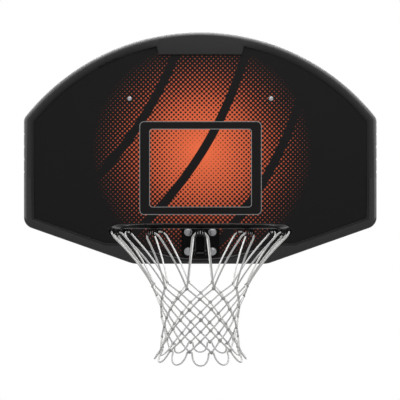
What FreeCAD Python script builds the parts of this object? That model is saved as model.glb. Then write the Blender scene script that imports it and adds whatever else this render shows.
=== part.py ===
"""Basketball backboard with a moulded edge, a rear steel frame and a spring-held hinged rim.

Millimetres. X runs to the right as the player sees it, Y away from the player and Z up. The origin is
the centre of the four rear mounting holes, on the plane of the rails' rear faces.
"""
import FreeCAD, Part
import Sketcher
import math
import os
import re

SIZES = {
    # Board outline. Heights are above or below the plane of the ring.
    "half_width": 559.0,
    "apex_rise": 614.0,
    "side_rise": 340.5,
    "corner_rise": 2.0,
    "slant": 19.4,
    "upper_corner": 28.0,
    "lower_corner": 36.0,
    "floor_corner": 70.0,
    "panel_thick": 8.0,
    # Moulded edging.
    "frame_wall": 8.0,
    "panel_play": 0.5,
    "lip_front": 6.0,
    "lip_back": 4.0,
    "band_width": 32.5,
    "floor_band": 16.0,
    "window_gap": 9.0,
    "shoulder_rise": 49.0,
    "scoop_radius": 535.0,
    "back_lip_width": 20.0,
    "step_width": 8.0,
    "step_depth": 2.0,
    "joint_rise": 152.0,
    "tab_depth": 72.0,
    "tab_half": 132.0,
    "tab_flare": 20.0,
    "edge_round": 10.0,
    "lip_round": 4.0,
    "back_edge_round": 2.5,
    "notch_depth": 2.0,
    "notch_height": 7.0,
    "notch_start": 16.0,
    "notch_pitch": 40.0,
    "notch_count": 4.0,
    # Edging screws and joining plates.
    "screw_inset": 14.0,
    "screw_radius": 2.0,
    "screw_head_radius": 4.0,
    "screw_head_height": 2.2,
    "screw_bite": 5.0,
    "arch_screws": 7.0,
    "arch_screw_end": 10.1,
    "side_screw_end": 70.5,
    "low_screw_end": 58.0,
    "slant_screw_outer_end": 129.0,
    "slant_screw_inner_end": 67.5,
    "floor_screw_end": 52.5,
    "joiner_length": 70.0,
    "joiner_width": 13.0,
    "joiner_thick": 2.0,
    "joiner_screw_pitch": 40.0,
    "hole_play": 0.5,
    "thread_play": 0.1,
    # Rear frame and mounting holes.
    "ring_drop": 200.0,
    "mount_spacing_x": 200.0,
    "mount_spacing_z": 400.0,
    "mount_hole_radius": 5.5,
    "rail_depth": 35.0,
    "rail_width": 46.0,
    "rail_wall": 2.5,
    "rail_web_inset": 20.0,
    "rail_end": 20.0,
    "back_plate": 4.0,
    "crossbar_height": 40.0,
    "crossbar_end": 30.0,
    "backing_side": 4.0,
    "backing_edge": 30.0,
    # Upper bolts.
    "top_bolt_x": 224.0,
    "top_bolt_rise": 403.0,
    "bolt_radius": 4.0,
    "top_head_radius": 8.0,
    "top_head_height": 4.4,
    "top_head_dome": 4.2,
    "washer_radius": 9.0,
    "washer_thick": 1.6,
    "nut_corner_radius": 7.5,
    "nut_height": 6.5,
    "bolt_stub": 4.0,
    # Rim plate and its bolts.
    "rim_plate_side": 9.2,
    "rim_plate_up": 2.0,
    "rim_plate_margin": 1.0,
    "rim_plate_thick": 5.0,
    "rim_plate_corner": 10.0,
    "rim_bolt_gap": 3.3,
    "rim_bolt_upper": 19.0,
    "rim_bolt_pitch": 61.5,
    "rim_head_radius": 9.5,
    "rim_head_height": 5.0,
    "rim_head_dome": 3.5,
    "rim_washer_radius": 12.5,
    "rim_washer_thick": 2.0,
    # Hinge of the rim.
    "pivot_drop": 83.0,
    "pin_radius": 4.0,
    "pin_play": 0.05,
    "pin_head_radius": 6.0,
    "pin_head_height": 3.0,
    "pin_stub": 3.5,
    "clip_radius": 7.0,
    "clip_thick": 1.2,
    "clip_play": 0.2,
    "lug_thick": 4.5,
    "lug_radius": 11.0,
    "thrust_gap": 1.0,
    "thrust_play": 0.1,
    "thrust_radius": 8.0,
    # Arm of the rim.
    "arm_gap": 3.0,
    "arm_inner": 13.0,
    "arm_plate_thick": 4.0,
    "arm_foot_radius": 10.5,
    "arm_foot_gap": 0.5,
    "arm_nose_drop": 22.0,
    "arm_nose_gap": 4.0,
    "web_thick": 5.0,
    "web_lift": 13.0,
    "bridge_thick": 5.0,
    "bridge_half": 60.0,
    "bridge_straight": 45.0,
    "bridge_flare": 70.0,
    "weld_gap": 0.1,
    # Spring that holds the rim up.
    "seat_gap": 2.0,
    "swing_room": 7.5,
    "slot_side": 1.2,
    "slot_up": 2.5,
    "slot_down": 2.0,
    "seat_thick": 1.5,
    "end_washer_thick": 2.0,
    "spring_length": 38.0,
    "spring_wire_radius": 1.5,
    "spring_turns": 5.0,
    "spring_dead_turns": 0.75,
    "spring_dead_space": 0.8,
    "spring_play": 0.2,
    "lock_nut_height": 8.0,
    "stud_stub": 2.5,
    "pad_half": 9.0,
    "pad_lift": 10.0,
    "pad_height": 18.0,
    "pad_play": 0.2,
    # Ring and net.
    "ring_inner": 228.6,
    "ring_reach": 152.4,
    "rod_radius": 6.75,
    "hook_count": 12.0,
    "hook_wire_radius": 2.0,
    "hook_half": 9.2,
    "hook_stem_out": 1.0,
    "hook_stem": 10.5,
    "hook_bend": 6.0,
    "hook_corner": 3.0,
    "hook_rise": 6.0,
    "hook_curl": 3.1,
    "hook_tip": 8.0,
    "cord_radius": 2.5,
    "cord_play": 0.3,
    "knot_swell": 2.9,
    "knot_cover": 2.0,
    "bend_swell": 0.4,
    "bight_half": 15.0,
    "net_first_drop": 162.0,
    "net_row_pitch": 28.0,
    "net_rows": 7.0,
    "net_waist": 102.0,
    "net_waist_row": 4.0,
    "net_flare": 1.875,
    "loop_drop": 362.0,
    "loop_radius": 125.0,
    "loop_half_angle": 6.0,
}

doc = FreeCAD.newDocument("Backboard")
sheet = doc.addObject("Spreadsheet::Sheet", "Sizes")
for row, (alias, value) in enumerate(SIZES.items(), 1):
    sheet.set(f"A{row}", alias)
    sheet.set(f"B{row}", str(value))
    sheet.setAlias(f"B{row}", alias)
doc.recompute()

# Levels along Y, from the rails' rear faces at zero to the front of the spring's stud, and the ring.
PANEL_BACK = "-(rail_depth + back_plate)"
PANEL_FRONT = "-(rail_depth + back_plate + panel_thick)"
FRAME_FRONT = f"({PANEL_FRONT} - lip_front)"
FRAME_BACK = f"({PANEL_BACK} + lip_back)"
PLATE_FRONT = f"({PANEL_FRONT} - rim_plate_thick)"
ARM_BACK = f"({PLATE_FRONT} - arm_gap)"
PIVOT_Y = f"({ARM_BACK} - arm_foot_gap - arm_foot_radius)"
WEB_FRONT = f"({ARM_BACK} - web_thick)"
SPRING_BACK = f"({WEB_FRONT} - seat_thick)"
SPRING_FRONT = f"({SPRING_BACK} - spring_length)"
NUT_BACK = f"({SPRING_FRONT} - end_washer_thick)"
STUD_FRONT = f"({NUT_BACK} - lock_nut_height - stud_stub)"
RING_Y = f"({PANEL_FRONT} - ring_reach - ring_inner)"

# Widths of the rim's hinge, from the middle outwards.
ARM_OUTER = "(arm_inner + arm_plate_thick)"
LUG_INNER = f"({ARM_OUTER} + thrust_gap)"
LUG_OUTER = f"({LUG_INNER} + lug_thick)"
RIM_BOLT_X = f"({LUG_OUTER} + rim_bolt_gap + rim_washer_radius)"
RING_RADIUS = "(ring_inner + rod_radius)"
SEAT_RADIUS = "(arm_inner - seat_gap)"

# Heights. The ring's plane lies below the mounting holes' centre.
RIM_BOLT_LOWER = "(rim_bolt_upper + rim_bolt_pitch)"
PLATE_DROP = f"(max(pivot_drop + lug_radius; {RIM_BOLT_LOWER} + rim_washer_radius) + rim_plate_margin)"
BOTTOM_DROP = f"({PLATE_DROP} + window_gap + floor_band)"
ARCH_HEIGHT = "(apex_rise - side_rise)"
ARCH_RADIUS = f"((half_width ^ 2 + {ARCH_HEIGHT} ^ 2) / (2 * {ARCH_HEIGHT}))"
ARCH_Z = f"(apex_rise - {ARCH_RADIUS} - ring_drop)"
PIVOT_Z = "(-ring_drop - pivot_drop)"
STUD_Z = f"(-ring_drop - bridge_thick / 2 - {SEAT_RADIUS} - swing_room)"
BRIDGE_FLOOR = "(-ring_drop - bridge_thick / 2)"
BRIDGE_TOP = "(-ring_drop + bridge_thick / 2)"
JOINT_Z = "(joint_rise - ring_drop)"
TOP_BOLT_Z = "(top_bolt_rise - ring_drop)"
BACKING_TOP = "(backing_edge - rim_bolt_upper - ring_drop)"
BACKING_FLOOR = f"(-{RIM_BOLT_LOWER} - 2 * washer_radius - ring_drop)"

# How far a cutting tool runs past the face that it opens.
OVERRUN = "1"

nodes = []


def size(alias):
    return float(sheet.get(alias))


def formula(text):
    """The text with each size's name pointing at its cell in the sheet."""
    return re.sub(r"[a-z][a-z_]*", lambda word: "Sizes." + word[0] if word[0] in SIZES else word[0], text)


def bind(part, formulas):
    for name, text in formulas.items():
        part.setExpression(name, formula(text))


def place(part, at):
    bind(part, {f"Placement.Base.{axis}": text for axis, text in zip("xyz", at)})


def node(label, part):
    part.Label = label
    nodes.append(part)


def span(half):
    """Limits at equal distances either side of the middle."""
    return (f"-({half})", half)


def box(name, x, y, z):
    """A block between pairs of limits."""
    part = doc.addObject("Part::Box", name)
    for side, (low, high) in zip(("Length", "Width", "Height"), (x, y, z)):
        bind(part, {side: f"{high} - ({low})"})
    place(part, [limits[0] for limits in (x, y, z)])
    return part


AXIS_TURNS = {
    "x": FreeCAD.Rotation(FreeCAD.Vector(0, 1, 0), 90),
    "y": FreeCAD.Rotation(FreeCAD.Vector(1, 0, 0), -90),
    "z": FreeCAD.Rotation(),
}


def rod(name, axis, radius, at, length):
    """A cylinder that starts at a point and runs along an axis."""
    part = doc.addObject("Part::Cylinder", name)
    part.Placement.Rotation = AXIS_TURNS[axis]
    bind(part, {"Radius": radius, "Height": length})
    place(part, at)
    return part


def polygon(name, corners):
    """A closed sketch whose corners are pairs of formulas, listed in order."""
    sketch = doc.addObject("Sketcher::SketchObject", name)
    count = len(corners)
    guess = [FreeCAD.Vector(math.cos(a), math.sin(a), 0) * 100
             for a in (math.tau * (k / count - 1 / 8) for k in range(count))]
    for k in range(count):
        sketch.addGeometry(Part.LineSegment(guess[k], guess[(k + 1) % count]))
    for k in range(count):
        sketch.addConstraint(Sketcher.Constraint("Coincident", k, 2, (k + 1) % count, 1))
    for k, pair in enumerate(corners):
        for kind, axis, start, text in zip(("DistanceX", "DistanceY"), (-2, -1), guess[k], pair):
            if text == "0":
                sketch.addConstraint(Sketcher.Constraint("PointOnObject", k, 1, axis))
                continue
            index = sketch.addConstraint(Sketcher.Constraint(kind, -1, 1, k, 1, start))
            sketch.setExpression(f"Constraints[{index}]", formula(text))
    return sketch


PRISM_FRAMES = {
    "x": (FreeCAD.Vector(0, 1, 0), FreeCAD.Vector(0, 0, 1), FreeCAD.Vector(1, 0, 0)),
    "y": (FreeCAD.Vector(1, 0, 0), FreeCAD.Vector(0, 0, 1), FreeCAD.Vector(0, -1, 0)),
    "z": (FreeCAD.Vector(1, 0, 0), FreeCAD.Vector(0, 1, 0), FreeCAD.Vector(0, 0, 1)),
}


def prism(name, axis, corners, low, high):
    """A polygon in the plane across an axis, drawn out along it from one level to another."""
    sketch = polygon(name + "_outline", corners)
    sketch.Placement.Rotation = FreeCAD.Rotation(*PRISM_FRAMES[axis])
    bind(sketch, {f"Placement.Base.{axis}": low})
    part = doc.addObject("Part::Extrusion", name)
    part.Base = sketch
    part.DirMode = "Custom"
    part.Dir = FreeCAD.Vector(*(float(axis == letter) for letter in "xyz"))
    part.Solid = True
    bind(part, {"LengthFwd": f"{high} - ({low})"})
    return part


def turned(name, profile, at):
    """A profile of radius and depth turned about the Y direction, with its zero at a point."""
    part = doc.addObject("Part::Revolution", name)
    part.Source = profile
    part.Axis = FreeCAD.Vector(0, 1, 0)
    part.Angle = 360
    part.Solid = True
    place(part, at)
    return part


def combined(kind, name, shapes):
    part = doc.addObject("Part::" + kind, name)
    part.Shapes = shapes
    return part


def cut(name, base, tools):
    part = doc.addObject("Part::Cut", name)
    part.Base = base
    part.Tool = tools[0] if len(tools) == 1 else combined("MultiFuse", name + "_tools", tools)
    return part


def group(label, parts):
    part = doc.addObject("Part::Compound", label)
    part.Links = parts
    node(label, part)


def rounded(name, base, cases):
    """A base with round edges. Each case is a radius and a test that picks the edges."""
    doc.recompute()
    part = doc.addObject("Part::Fillet", name)
    part.Base = base
    part.Edges = [(number, radius, radius)
                  for radius, test in cases
                  for number, edge in enumerate(base.Shape.Edges, 1) if test(edge)]
    return part


def runs_along_y(edge):
    straight = edge.Curve.TypeId == "Part::GeomLine"
    return straight and abs(edge.tangentAt(edge.FirstParameter).y) > 0.999


def lies_at_y(edge, y):
    return abs(edge.CenterOfMass.y - y) < 0.01 and not runs_along_y(edge)


def front_of(part):
    """The part's lowest Y."""
    doc.recompute()
    return part.Shape.BoundBox.YMin


def hex_nut(name, at, height):
    blank = doc.addObject("Part::Prism", name + "_blank")
    blank.Polygon = 6
    blank.Placement.Rotation = AXIS_TURNS["y"]
    bind(blank, {"Circumradius": "nut_corner_radius", "Height": height})
    place(blank, at)
    return cut(name, blank, [rod(name + "_bore", "y", "bolt_radius + thread_play", at, height)])


def washer_profile(name, radius, thick):
    bore = "bolt_radius + hole_play"
    return polygon(name, [(radius, "0"), (radius, thick), (bore, thick), (bore, "0")])


def bolt_profile(name, head_radius, head_height, tail):
    return polygon(name, [("bolt_radius", "0"), ("bolt_radius", tail), ("0", tail),
                          ("0", f"-{head_height}"), (head_radius, f"-{head_height}"), (head_radius, "0")])


def fan_outline(inset, floor_inset):
    """Straight sides, slants and floor of the board's outline, drawn in by an inset."""
    side_x = f"(half_width - {inset})"
    side_z = f"(corner_rise - ring_drop + {inset} * (1 / cos(slant) - tan(slant)))"
    floor_z = f"({floor_inset} - {BOTTOM_DROP} - ring_drop)"
    fall = f"(corner_rise + {BOTTOM_DROP} - {floor_inset} + {inset} / cos(slant))"
    floor_x = f"(half_width - {fall} / tan(slant))"
    right = [(floor_x, floor_z), (side_x, side_z), (side_x, f"(apex_rise - ring_drop + {OVERRUN})")]
    return right + [(f"-{x}", z) for x, z in reversed(right)]


def fan(name, inset, floor_inset, low, high):
    """The outline under its arch, drawn out from one level to another."""
    sides = prism(name + "_sides", "y", fan_outline(inset, floor_inset), low, high)
    arch = rod(name + "_arch", "y", f"{ARCH_RADIUS} - {inset}", ("0", low, ARCH_Z), f"{high} - ({low})")
    return combined("MultiCommon", name, [sides, arch])


def slab(name, insets, low, high):
    """The fan drawn in by the sum of some sizes, with its corners rounded."""
    inset = f"({' + '.join(insets)})" if insets else "0"
    raw = fan(name + "_raw", inset, inset, low, high)
    doc.recompute()
    heights = sorted(e.CenterOfMass.z for e in raw.Shape.Edges if runs_along_y(e))
    drawn_in = sum(size(alias) for alias in insets)
    cases = []
    for height, alias in zip(heights[::2], ("floor_corner", "lower_corner", "upper_corner")):
        radius = max(size(alias) - drawn_in, size("panel_play"))
        cases.append((radius, lambda e, z=height: runs_along_y(e) and abs(e.CenterOfMass.z - z) < 0.01))
    return rounded(name, raw, cases)


def band_window(name, grow, low, high):
    """What the edging leaves open in front: straight sides, a shoulder and a scoop over the rim's plate."""
    opening = fan(name + "_fan", f"(band_width - {grow})", f"(floor_band - {grow})", low, high)
    floor_z = f"(floor_band - {BOTTOM_DROP} - ring_drop)"
    above = box(name + "_above", span("half_width"), (low, high),
                (f"{floor_z} + shoulder_rise - {grow}", f"apex_rise - ring_drop + {OVERRUN}"))
    scoop = rod(name + "_scoop", "y", f"scoop_radius + {grow}", ("0", low, f"{floor_z} + scoop_radius"),
                f"{high} - ({low})")
    floor = combined("MultiFuse", name + "_floor", [above, scoop])
    return combined("MultiCommon", name, [opening, floor])


def both_sides(places):
    return places + [(f"-({x})", z) for x, z in places]


def screw_places():
    """Where the edging's screws go: along the arch, down the sides and slants and on the floor."""
    arch = f"({ARCH_RADIUS} - screw_inset)"
    count = round(size("arch_screws"))
    last_turn = f"(asin(half_width / {ARCH_RADIUS}) / (1 deg) - arch_screw_end)"
    turns = [f"({last_turn} * (2 * {k} / (arch_screws - 1) - 1))" for k in range(count)]
    places = [(f"{arch} * sin({turn})", f"{ARCH_Z} + {arch} * cos({turn})") for turn in turns]
    floor_end = f"(half_width - (corner_rise + {BOTTOM_DROP}) / tan(slant))"
    slant_z = "corner_rise - ring_drop - (half_width - {0}) * tan(slant) + screw_inset / cos(slant)"
    slant_screws = ["(half_width - slant_screw_outer_end)", f"({floor_end} + slant_screw_inner_end)"]
    right = [("half_width - screw_inset", "side_rise - side_screw_end - ring_drop"),
             ("half_width - screw_inset", "corner_rise + low_screw_end - ring_drop"),
             (f"{floor_end} - floor_screw_end", f"screw_inset - {BOTTOM_DROP} - ring_drop")]
    right += [(x, slant_z.format(x)) for x in slant_screws]
    return places + both_sides(right)


def joiner_places():
    return both_sides([("half_width - screw_inset", f"{JOINT_Z} + {way} * joiner_screw_pitch / 2")
                       for way in (-1, 1)])


def top_bolt_places():
    return both_sides([("top_bolt_x", TOP_BOLT_Z)])


def rim_bolt_places():
    return both_sides([(RIM_BOLT_X, f"-ring_drop - {drop}") for drop in ("rim_bolt_upper", RIM_BOLT_LOWER)])


def holes(name, places, radius, low, high):
    return [rod(f"{name}_{k}", "y", radius, (x, low, z), f"{high} - ({low})")
            for k, (x, z) in enumerate(places)]


def make_panel():
    """Flat board with through holes for the bolts and blind ones for the edging's screws."""
    blank = slab("panel_blank", ["frame_wall", "panel_play"], PANEL_FRONT, PANEL_BACK)
    bolt_places = top_bolt_places() + rim_bolt_places()
    tools = holes("panel_hole", bolt_places, "bolt_radius + hole_play", PANEL_FRONT, PANEL_BACK)
    tools += holes("panel_pilot", screw_places() + joiner_places(), "screw_radius + thread_play",
                   f"{PANEL_BACK} - screw_bite - hole_play", PANEL_BACK)
    node("backboard_panel", cut("panel", blank, tools))


def make_frame():
    """Edging in two mouldings: a deep wall round the panel, a wide lip in front and a narrow one behind."""
    blank = slab("frame_blank", [], FRAME_FRONT, FRAME_BACK)
    front = front_of(blank)
    back = blank.Shape.BoundBox.YMax
    outer = rounded("frame_outer", blank, [
        (size("edge_round"), lambda e: lies_at_y(e, front)),
        (size("back_edge_round"), lambda e: lies_at_y(e, back)),
    ])
    front_depth = (f"{FRAME_FRONT} - {OVERRUN}", f"{PANEL_FRONT} + {OVERRUN}")
    back_depth = (f"{PANEL_BACK} - {OVERRUN}", f"{FRAME_BACK} + {OVERRUN}")
    pocket = slab("frame_pocket", ["frame_wall"], PANEL_FRONT, PANEL_BACK)
    back_window = slab("frame_back_window", ["back_lip_width"], *back_depth)
    window = band_window("frame_window", "0", *front_depth)
    tab_floor = "(apex_rise - tab_depth - ring_drop)"
    tab_top = "(apex_rise - ring_drop)"
    tab_right = [("tab_half", tab_floor), ("(tab_half + tab_flare)", tab_top)]
    tab_left = [(f"-{x}", z) for x, z in reversed(tab_right)]
    tab = prism("frame_tab", "y", tab_right + tab_left, *front_depth)
    front_window = cut("frame_front_window", window, [tab])
    fixings = screw_places() + joiner_places()
    screw_holes = holes("frame_hole", fixings, "screw_radius + hole_play", *back_depth)
    cut_out = cut("frame_cut", outer, [pocket, front_window, back_window] + screw_holes)
    outside = [e.CenterOfMass for e in outer.Shape.Edges]

    def rims_window(edge):
        return lies_at_y(edge, front) and min((edge.CenterOfMass - c).Length for c in outside) > 1

    whole = rounded("frame_whole", cut_out, [(size("lip_round"), rims_window)])

    width = span(f"half_width + {OVERRUN}")
    depth = (front_depth[0], back_depth[1])
    upper_zone = box("frame_upper_zone", width, depth, (JOINT_Z, f"apex_rise - ring_drop + {OVERRUN}"))
    lower_zone = box("frame_lower_zone", width, depth, (f"-{BOTTOM_DROP} - ring_drop - {OVERRUN}", JOINT_Z))
    notches = []
    for k in range(round(size("notch_count"))):
        floor = f"{JOINT_Z} + notch_start + {k} * notch_pitch"
        for edge in ("half_width", "-half_width"):
            notches.append(box(f"notch_{len(notches)}", (f"{edge} - notch_depth", f"{edge} + notch_depth"),
                               depth, (floor, f"{floor} + notch_height")))
    upper = combined("MultiCommon", "frame_upper_half", [whole, upper_zone])
    node("upper_frame", cut("frame_upper", upper, notches))
    step = band_window("frame_step", "step_width", front_depth[0], f"{FRAME_FRONT} + step_depth")
    lower = combined("MultiCommon", "frame_lower_half", [whole, lower_zone])
    node("lower_frame", cut("frame_lower", lower, [step]))


def screw_profile(name, grip):
    tip = f"-{grip} - screw_bite"
    return polygon(name, [("screw_radius", tip), ("screw_radius", "0"), ("screw_head_radius", "0"),
                          ("screw_head_radius", "screw_head_height"), ("0", "screw_head_height"), ("0", tip)])


def make_frame_fixings():
    """Pan-head screws from behind, and a plate across each joint of the edging."""
    screw = screw_profile("screw_profile", "lip_back")
    group("frame_screws", [turned(f"frame_screw_{k}", screw, (x, FRAME_BACK, z))
                           for k, (x, z) in enumerate(screw_places())])
    plate_back = f"{FRAME_BACK} + joiner_thick"
    height = (f"{JOINT_Z} - joiner_length / 2", f"{JOINT_Z} + joiner_length / 2")
    drill = holes("joiner_hole", joiner_places(), "screw_radius + hole_play", FRAME_BACK, plate_back)
    plates = []
    for side, x in (("right", "half_width - screw_inset"), ("left", "-half_width + screw_inset")):
        width = (f"{x} - joiner_width / 2", f"{x} + joiner_width / 2")
        blank = box(f"joiner_blank_{side}", width, (FRAME_BACK, plate_back), height)
        plates.append(cut(f"joiner_{side}", blank, drill))
    group("frame_joiners", plates)
    long_screw = screw_profile("joiner_screw_profile", "joiner_thick - lip_back")
    group("joiner_screws", [turned(f"joiner_screw_{k}", long_screw, (x, plate_back, z))
                            for k, (x, z) in enumerate(joiner_places())])


def make_rear_frame():
    """Flat bar, flat plate and two channels open to the outside, welded to one frame."""
    levels = (PANEL_BACK, "-rail_depth")
    bolt_hole = "bolt_radius + hole_play"
    web = "(mount_spacing_x / 2 - rail_web_inset)"
    bar = box("crossbar_blank", span("top_bolt_x + crossbar_end"), levels,
              (f"{TOP_BOLT_Z} - crossbar_height / 2", f"{TOP_BOLT_Z} + crossbar_height / 2"))
    bar_holes = holes("crossbar_hole", top_bolt_places(), bolt_hole, *levels)
    node("mount_crossbar", cut("crossbar", bar, bar_holes))
    plate = box("backing_blank", span(f"{web} + rail_width + backing_side"), levels,
                (BACKING_FLOOR, BACKING_TOP))
    plate_holes = holes("backing_hole", rim_bolt_places(), bolt_hole, *levels)
    node("rim_backing_plate", cut("backing", plate, plate_holes))

    section = [("rail_width", "-rail_depth"), ("rail_width", "-rail_depth + rail_wall"),
               ("rail_wall", "-rail_depth + rail_wall"), ("rail_wall", "-rail_wall"),
               ("rail_width", "-rail_wall"), ("rail_width", "0"), ("0", "0"), ("0", "-rail_depth")]
    rail_top = f"(max({TOP_BOLT_Z} + crossbar_height / 2; mount_spacing_z / 2) + rail_end)"
    rail_floor = f"min({BACKING_FLOOR}; -mount_spacing_z / 2 - rail_end)"
    for side, sign in (("right", ""), ("left", "-")):
        corners = [(f"{sign}({web} + {x})", y) for x, y in section]
        channel = prism(f"rail_blank_{side}", "z", corners, rail_floor, rail_top)
        places = [(f"{sign}mount_spacing_x / 2", f"{way} * mount_spacing_z / 2") for way in (-1, 1)]
        drill = holes(f"rail_hole_{side}", places, "mount_hole_radius", "-rail_wall", "0")
        node(f"mount_rail_{side}", cut(f"rail_{side}", channel, drill))


def make_bolt_sets(name, places, seat, profile, head_dome):
    """Domed bolts from the front, with a washer and a nut behind each."""
    ring = washer_profile(name + "_washer_profile", "washer_radius", "washer_thick")
    bolts = []
    washers = []
    nuts = []
    for k, (x, z) in enumerate(places):
        blank = turned(f"{name}_bolt_blank_{k}", profile, (x, seat, z))
        crown = front_of(blank)
        bolts.append(rounded(f"{name}_bolt_{k}", blank, [(head_dome, lambda e, y=crown: lies_at_y(e, y))]))
        washers.append(turned(f"{name}_washer_{k}", ring, (x, "-rail_depth", z)))
        nuts.append(hex_nut(f"{name}_nut_{k}", (x, "-rail_depth + washer_thick", z), "nut_height"))
    return bolts, washers, nuts


def make_top_bolts():
    tail = "(panel_thick + back_plate + washer_thick + nut_height + bolt_stub)"
    profile = bolt_profile("top_bolt_profile", "top_head_radius", "top_head_height", tail)
    sets = make_bolt_sets("top", top_bolt_places(), PANEL_FRONT, profile, size("top_head_dome"))
    for label, parts in zip(("top_bolts", "top_washers", "top_nuts"), sets):
        group(label, parts)


def make_rim_plate():
    """Flat plate, two welded lugs for the pin and a rubber pad that the arm rests on."""
    levels = (PLATE_FRONT, PANEL_FRONT)
    blank = box("rim_plate_blank", span(f"{RIM_BOLT_X} + rim_washer_radius + rim_plate_side"), levels,
                (f"-ring_drop - {PLATE_DROP}", "-ring_drop + rim_plate_up"))
    soft = rounded("rim_plate_soft", blank, [(size("rim_plate_corner"), runs_along_y)])
    drill = holes("rim_plate_hole", rim_bolt_places(), "bolt_radius + hole_play", *levels)
    node("rim_mount_plate", cut("rim_plate", soft, drill))
    for side, low, high in (("right", LUG_INNER, LUG_OUTER), ("left", f"-{LUG_OUTER}", f"-{LUG_INNER}")):
        root = box(f"lug_root_{side}", (low, high), (PIVOT_Y, PLATE_FRONT),
                   (f"{PIVOT_Z} - lug_radius", f"{PIVOT_Z} + lug_radius"))
        nose = rod(f"lug_nose_{side}", "x", "lug_radius", (low, PIVOT_Y, PIVOT_Z), "lug_thick")
        ear = combined("MultiFuse", f"lug_ear_{side}", [root, nose])
        bore = rod(f"lug_bore_{side}", "x", "pin_radius + pin_play", (low, PIVOT_Y, PIVOT_Z), "lug_thick")
        node(f"hinge_lug_{side}", cut(f"lug_{side}", ear, [bore]))
    pad_floor = f"({PIVOT_Z} + web_lift + pad_lift)"
    node("stop_pad", box("pad", span("pad_half"), (f"{ARM_BACK} + pad_play", PLATE_FRONT),
                         (pad_floor, f"{pad_floor} + pad_height")))


def make_rim_bolts():
    """Four domed bolts on wide washers, through the rim's plate, the panel and the backing plate."""
    seat = f"({PLATE_FRONT} - rim_washer_thick)"
    clamped = "rim_washer_thick + rim_plate_thick + panel_thick + back_plate"
    tail = f"({clamped} + washer_thick + nut_height + bolt_stub)"
    profile = bolt_profile("rim_bolt_profile", "rim_head_radius", "rim_head_height", tail)
    sets = make_bolt_sets("rim", rim_bolt_places(), seat, profile, size("rim_head_dome"))
    for label, parts in zip(("rim_bolts", "rim_rear_washers", "rim_nuts"), sets):
        group(label, parts)
    ring = washer_profile("rim_front_washer_profile", "rim_washer_radius", "rim_washer_thick")
    group("rim_front_washers", [turned(f"rim_front_washer_{k}", ring, (x, seat, z))
                                for k, (x, z) in enumerate(rim_bolt_places())])


def make_pivot():
    """Headed pin along X, a clip on its plain end, and thrust washers between the lugs and the arm."""
    at = (PIVOT_Y, PIVOT_Z)
    bore_radius = "pin_radius + pin_play"
    length = f"2 * {LUG_OUTER} + clip_play + clip_thick + pin_stub"
    shank = rod("pin_shank", "x", "pin_radius", (f"-{LUG_OUTER}", *at), length)
    head = rod("pin_head", "x", "pin_head_radius", (f"-{LUG_OUTER} - pin_head_height", *at),
               "pin_head_height")
    node("pivot_pin", combined("MultiFuse", "pin", [shank, head]))
    clip_low = f"({LUG_OUTER} + clip_play)"
    clip = rod("clip_disc", "x", "clip_radius", (clip_low, *at), "clip_thick")
    clip_bore = rod("clip_bore", "x", bore_radius, (clip_low, *at), "clip_thick")
    mouth = box("clip_mouth", (clip_low, f"{clip_low} + clip_thick"),
                (f"{PIVOT_Y} - pin_radius / 2", f"{PIVOT_Y} + pin_radius / 2"),
                (f"{PIVOT_Z} - clip_radius", PIVOT_Z))
    node("pivot_clip", cut("clip", clip, [clip_bore, mouth]))
    rings = []
    for side, low in (("right", f"{ARM_OUTER} + thrust_play"), ("left", f"-{LUG_INNER} + thrust_play")):
        thick = "thrust_gap - 2 * thrust_play"
        disc = rod(f"thrust_disc_{side}", "x", "thrust_radius", (low, *at), thick)
        bore = rod(f"thrust_bore_{side}", "x", bore_radius, (low, *at), thick)
        rings.append(cut(f"thrust_{side}", disc, [bore]))
    group("pivot_washers", rings)


def stud_slot(name, low, high):
    """Slot for the stud: the arm swings past it, so it is taller than it is wide."""
    return box(name, span("bolt_radius + slot_side"), (low, high),
               (f"{STUD_Z} - bolt_radius - slot_down", f"{STUD_Z} + bolt_radius + slot_up"))


def make_arm():
    """Channel of two upright plates and a web, under a flat plate that widens to meet the ring."""
    nose_y = f"({RING_Y} + {RING_RADIUS} + rod_radius + arm_nose_gap)"
    corners = [(f"({PIVOT_Y} - arm_foot_radius)", PIVOT_Z), (ARM_BACK, PIVOT_Z), (ARM_BACK, BRIDGE_FLOOR),
               (nose_y, BRIDGE_FLOOR), (nose_y, "-ring_drop - arm_nose_drop")]
    for side, low, high in (("right", "arm_inner", ARM_OUTER), ("left", f"-{ARM_OUTER}", "-arm_inner")):
        blade = prism(f"arm_blade_{side}", "x", corners, low, high)
        foot = rod(f"arm_foot_{side}", "x", "arm_foot_radius", (low, PIVOT_Y, PIVOT_Z), "arm_plate_thick")
        whole = combined("MultiFuse", f"arm_whole_{side}", [blade, foot])
        bore = rod(f"arm_bore_{side}", "x", "pin_radius + pin_play", (low, PIVOT_Y, PIVOT_Z),
                   "arm_plate_thick")
        node(f"arm_plate_{side}", cut(f"arm_{side}", whole, [bore]))
    web = box("web_blank", span("arm_inner"), (WEB_FRONT, ARM_BACK), (f"{PIVOT_Z} + web_lift", BRIDGE_FLOOR))
    node("arm_web", cut("web", web, [stud_slot("web_slot", WEB_FRONT, ARM_BACK)]))
    straight_y = f"({ARM_BACK} - bridge_straight)"
    flare_y = f"({straight_y} - bridge_flare)"
    right = [("bridge_half", RING_Y), ("bridge_half", flare_y),
             (ARM_OUTER, straight_y), (ARM_OUTER, ARM_BACK)]
    left = [(f"-{x}", y) for x, y in reversed(right)]
    plate = prism("bridge_blank", "z", right + left, BRIDGE_FLOOR, BRIDGE_TOP)
    ring_space = rod("bridge_ring_space", "z", f"{RING_RADIUS} + rod_radius + weld_gap",
                     ("0", RING_Y, BRIDGE_FLOOR), "bridge_thick")
    node("bridge_plate", cut("bridge", plate, [ring_space]))


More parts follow.
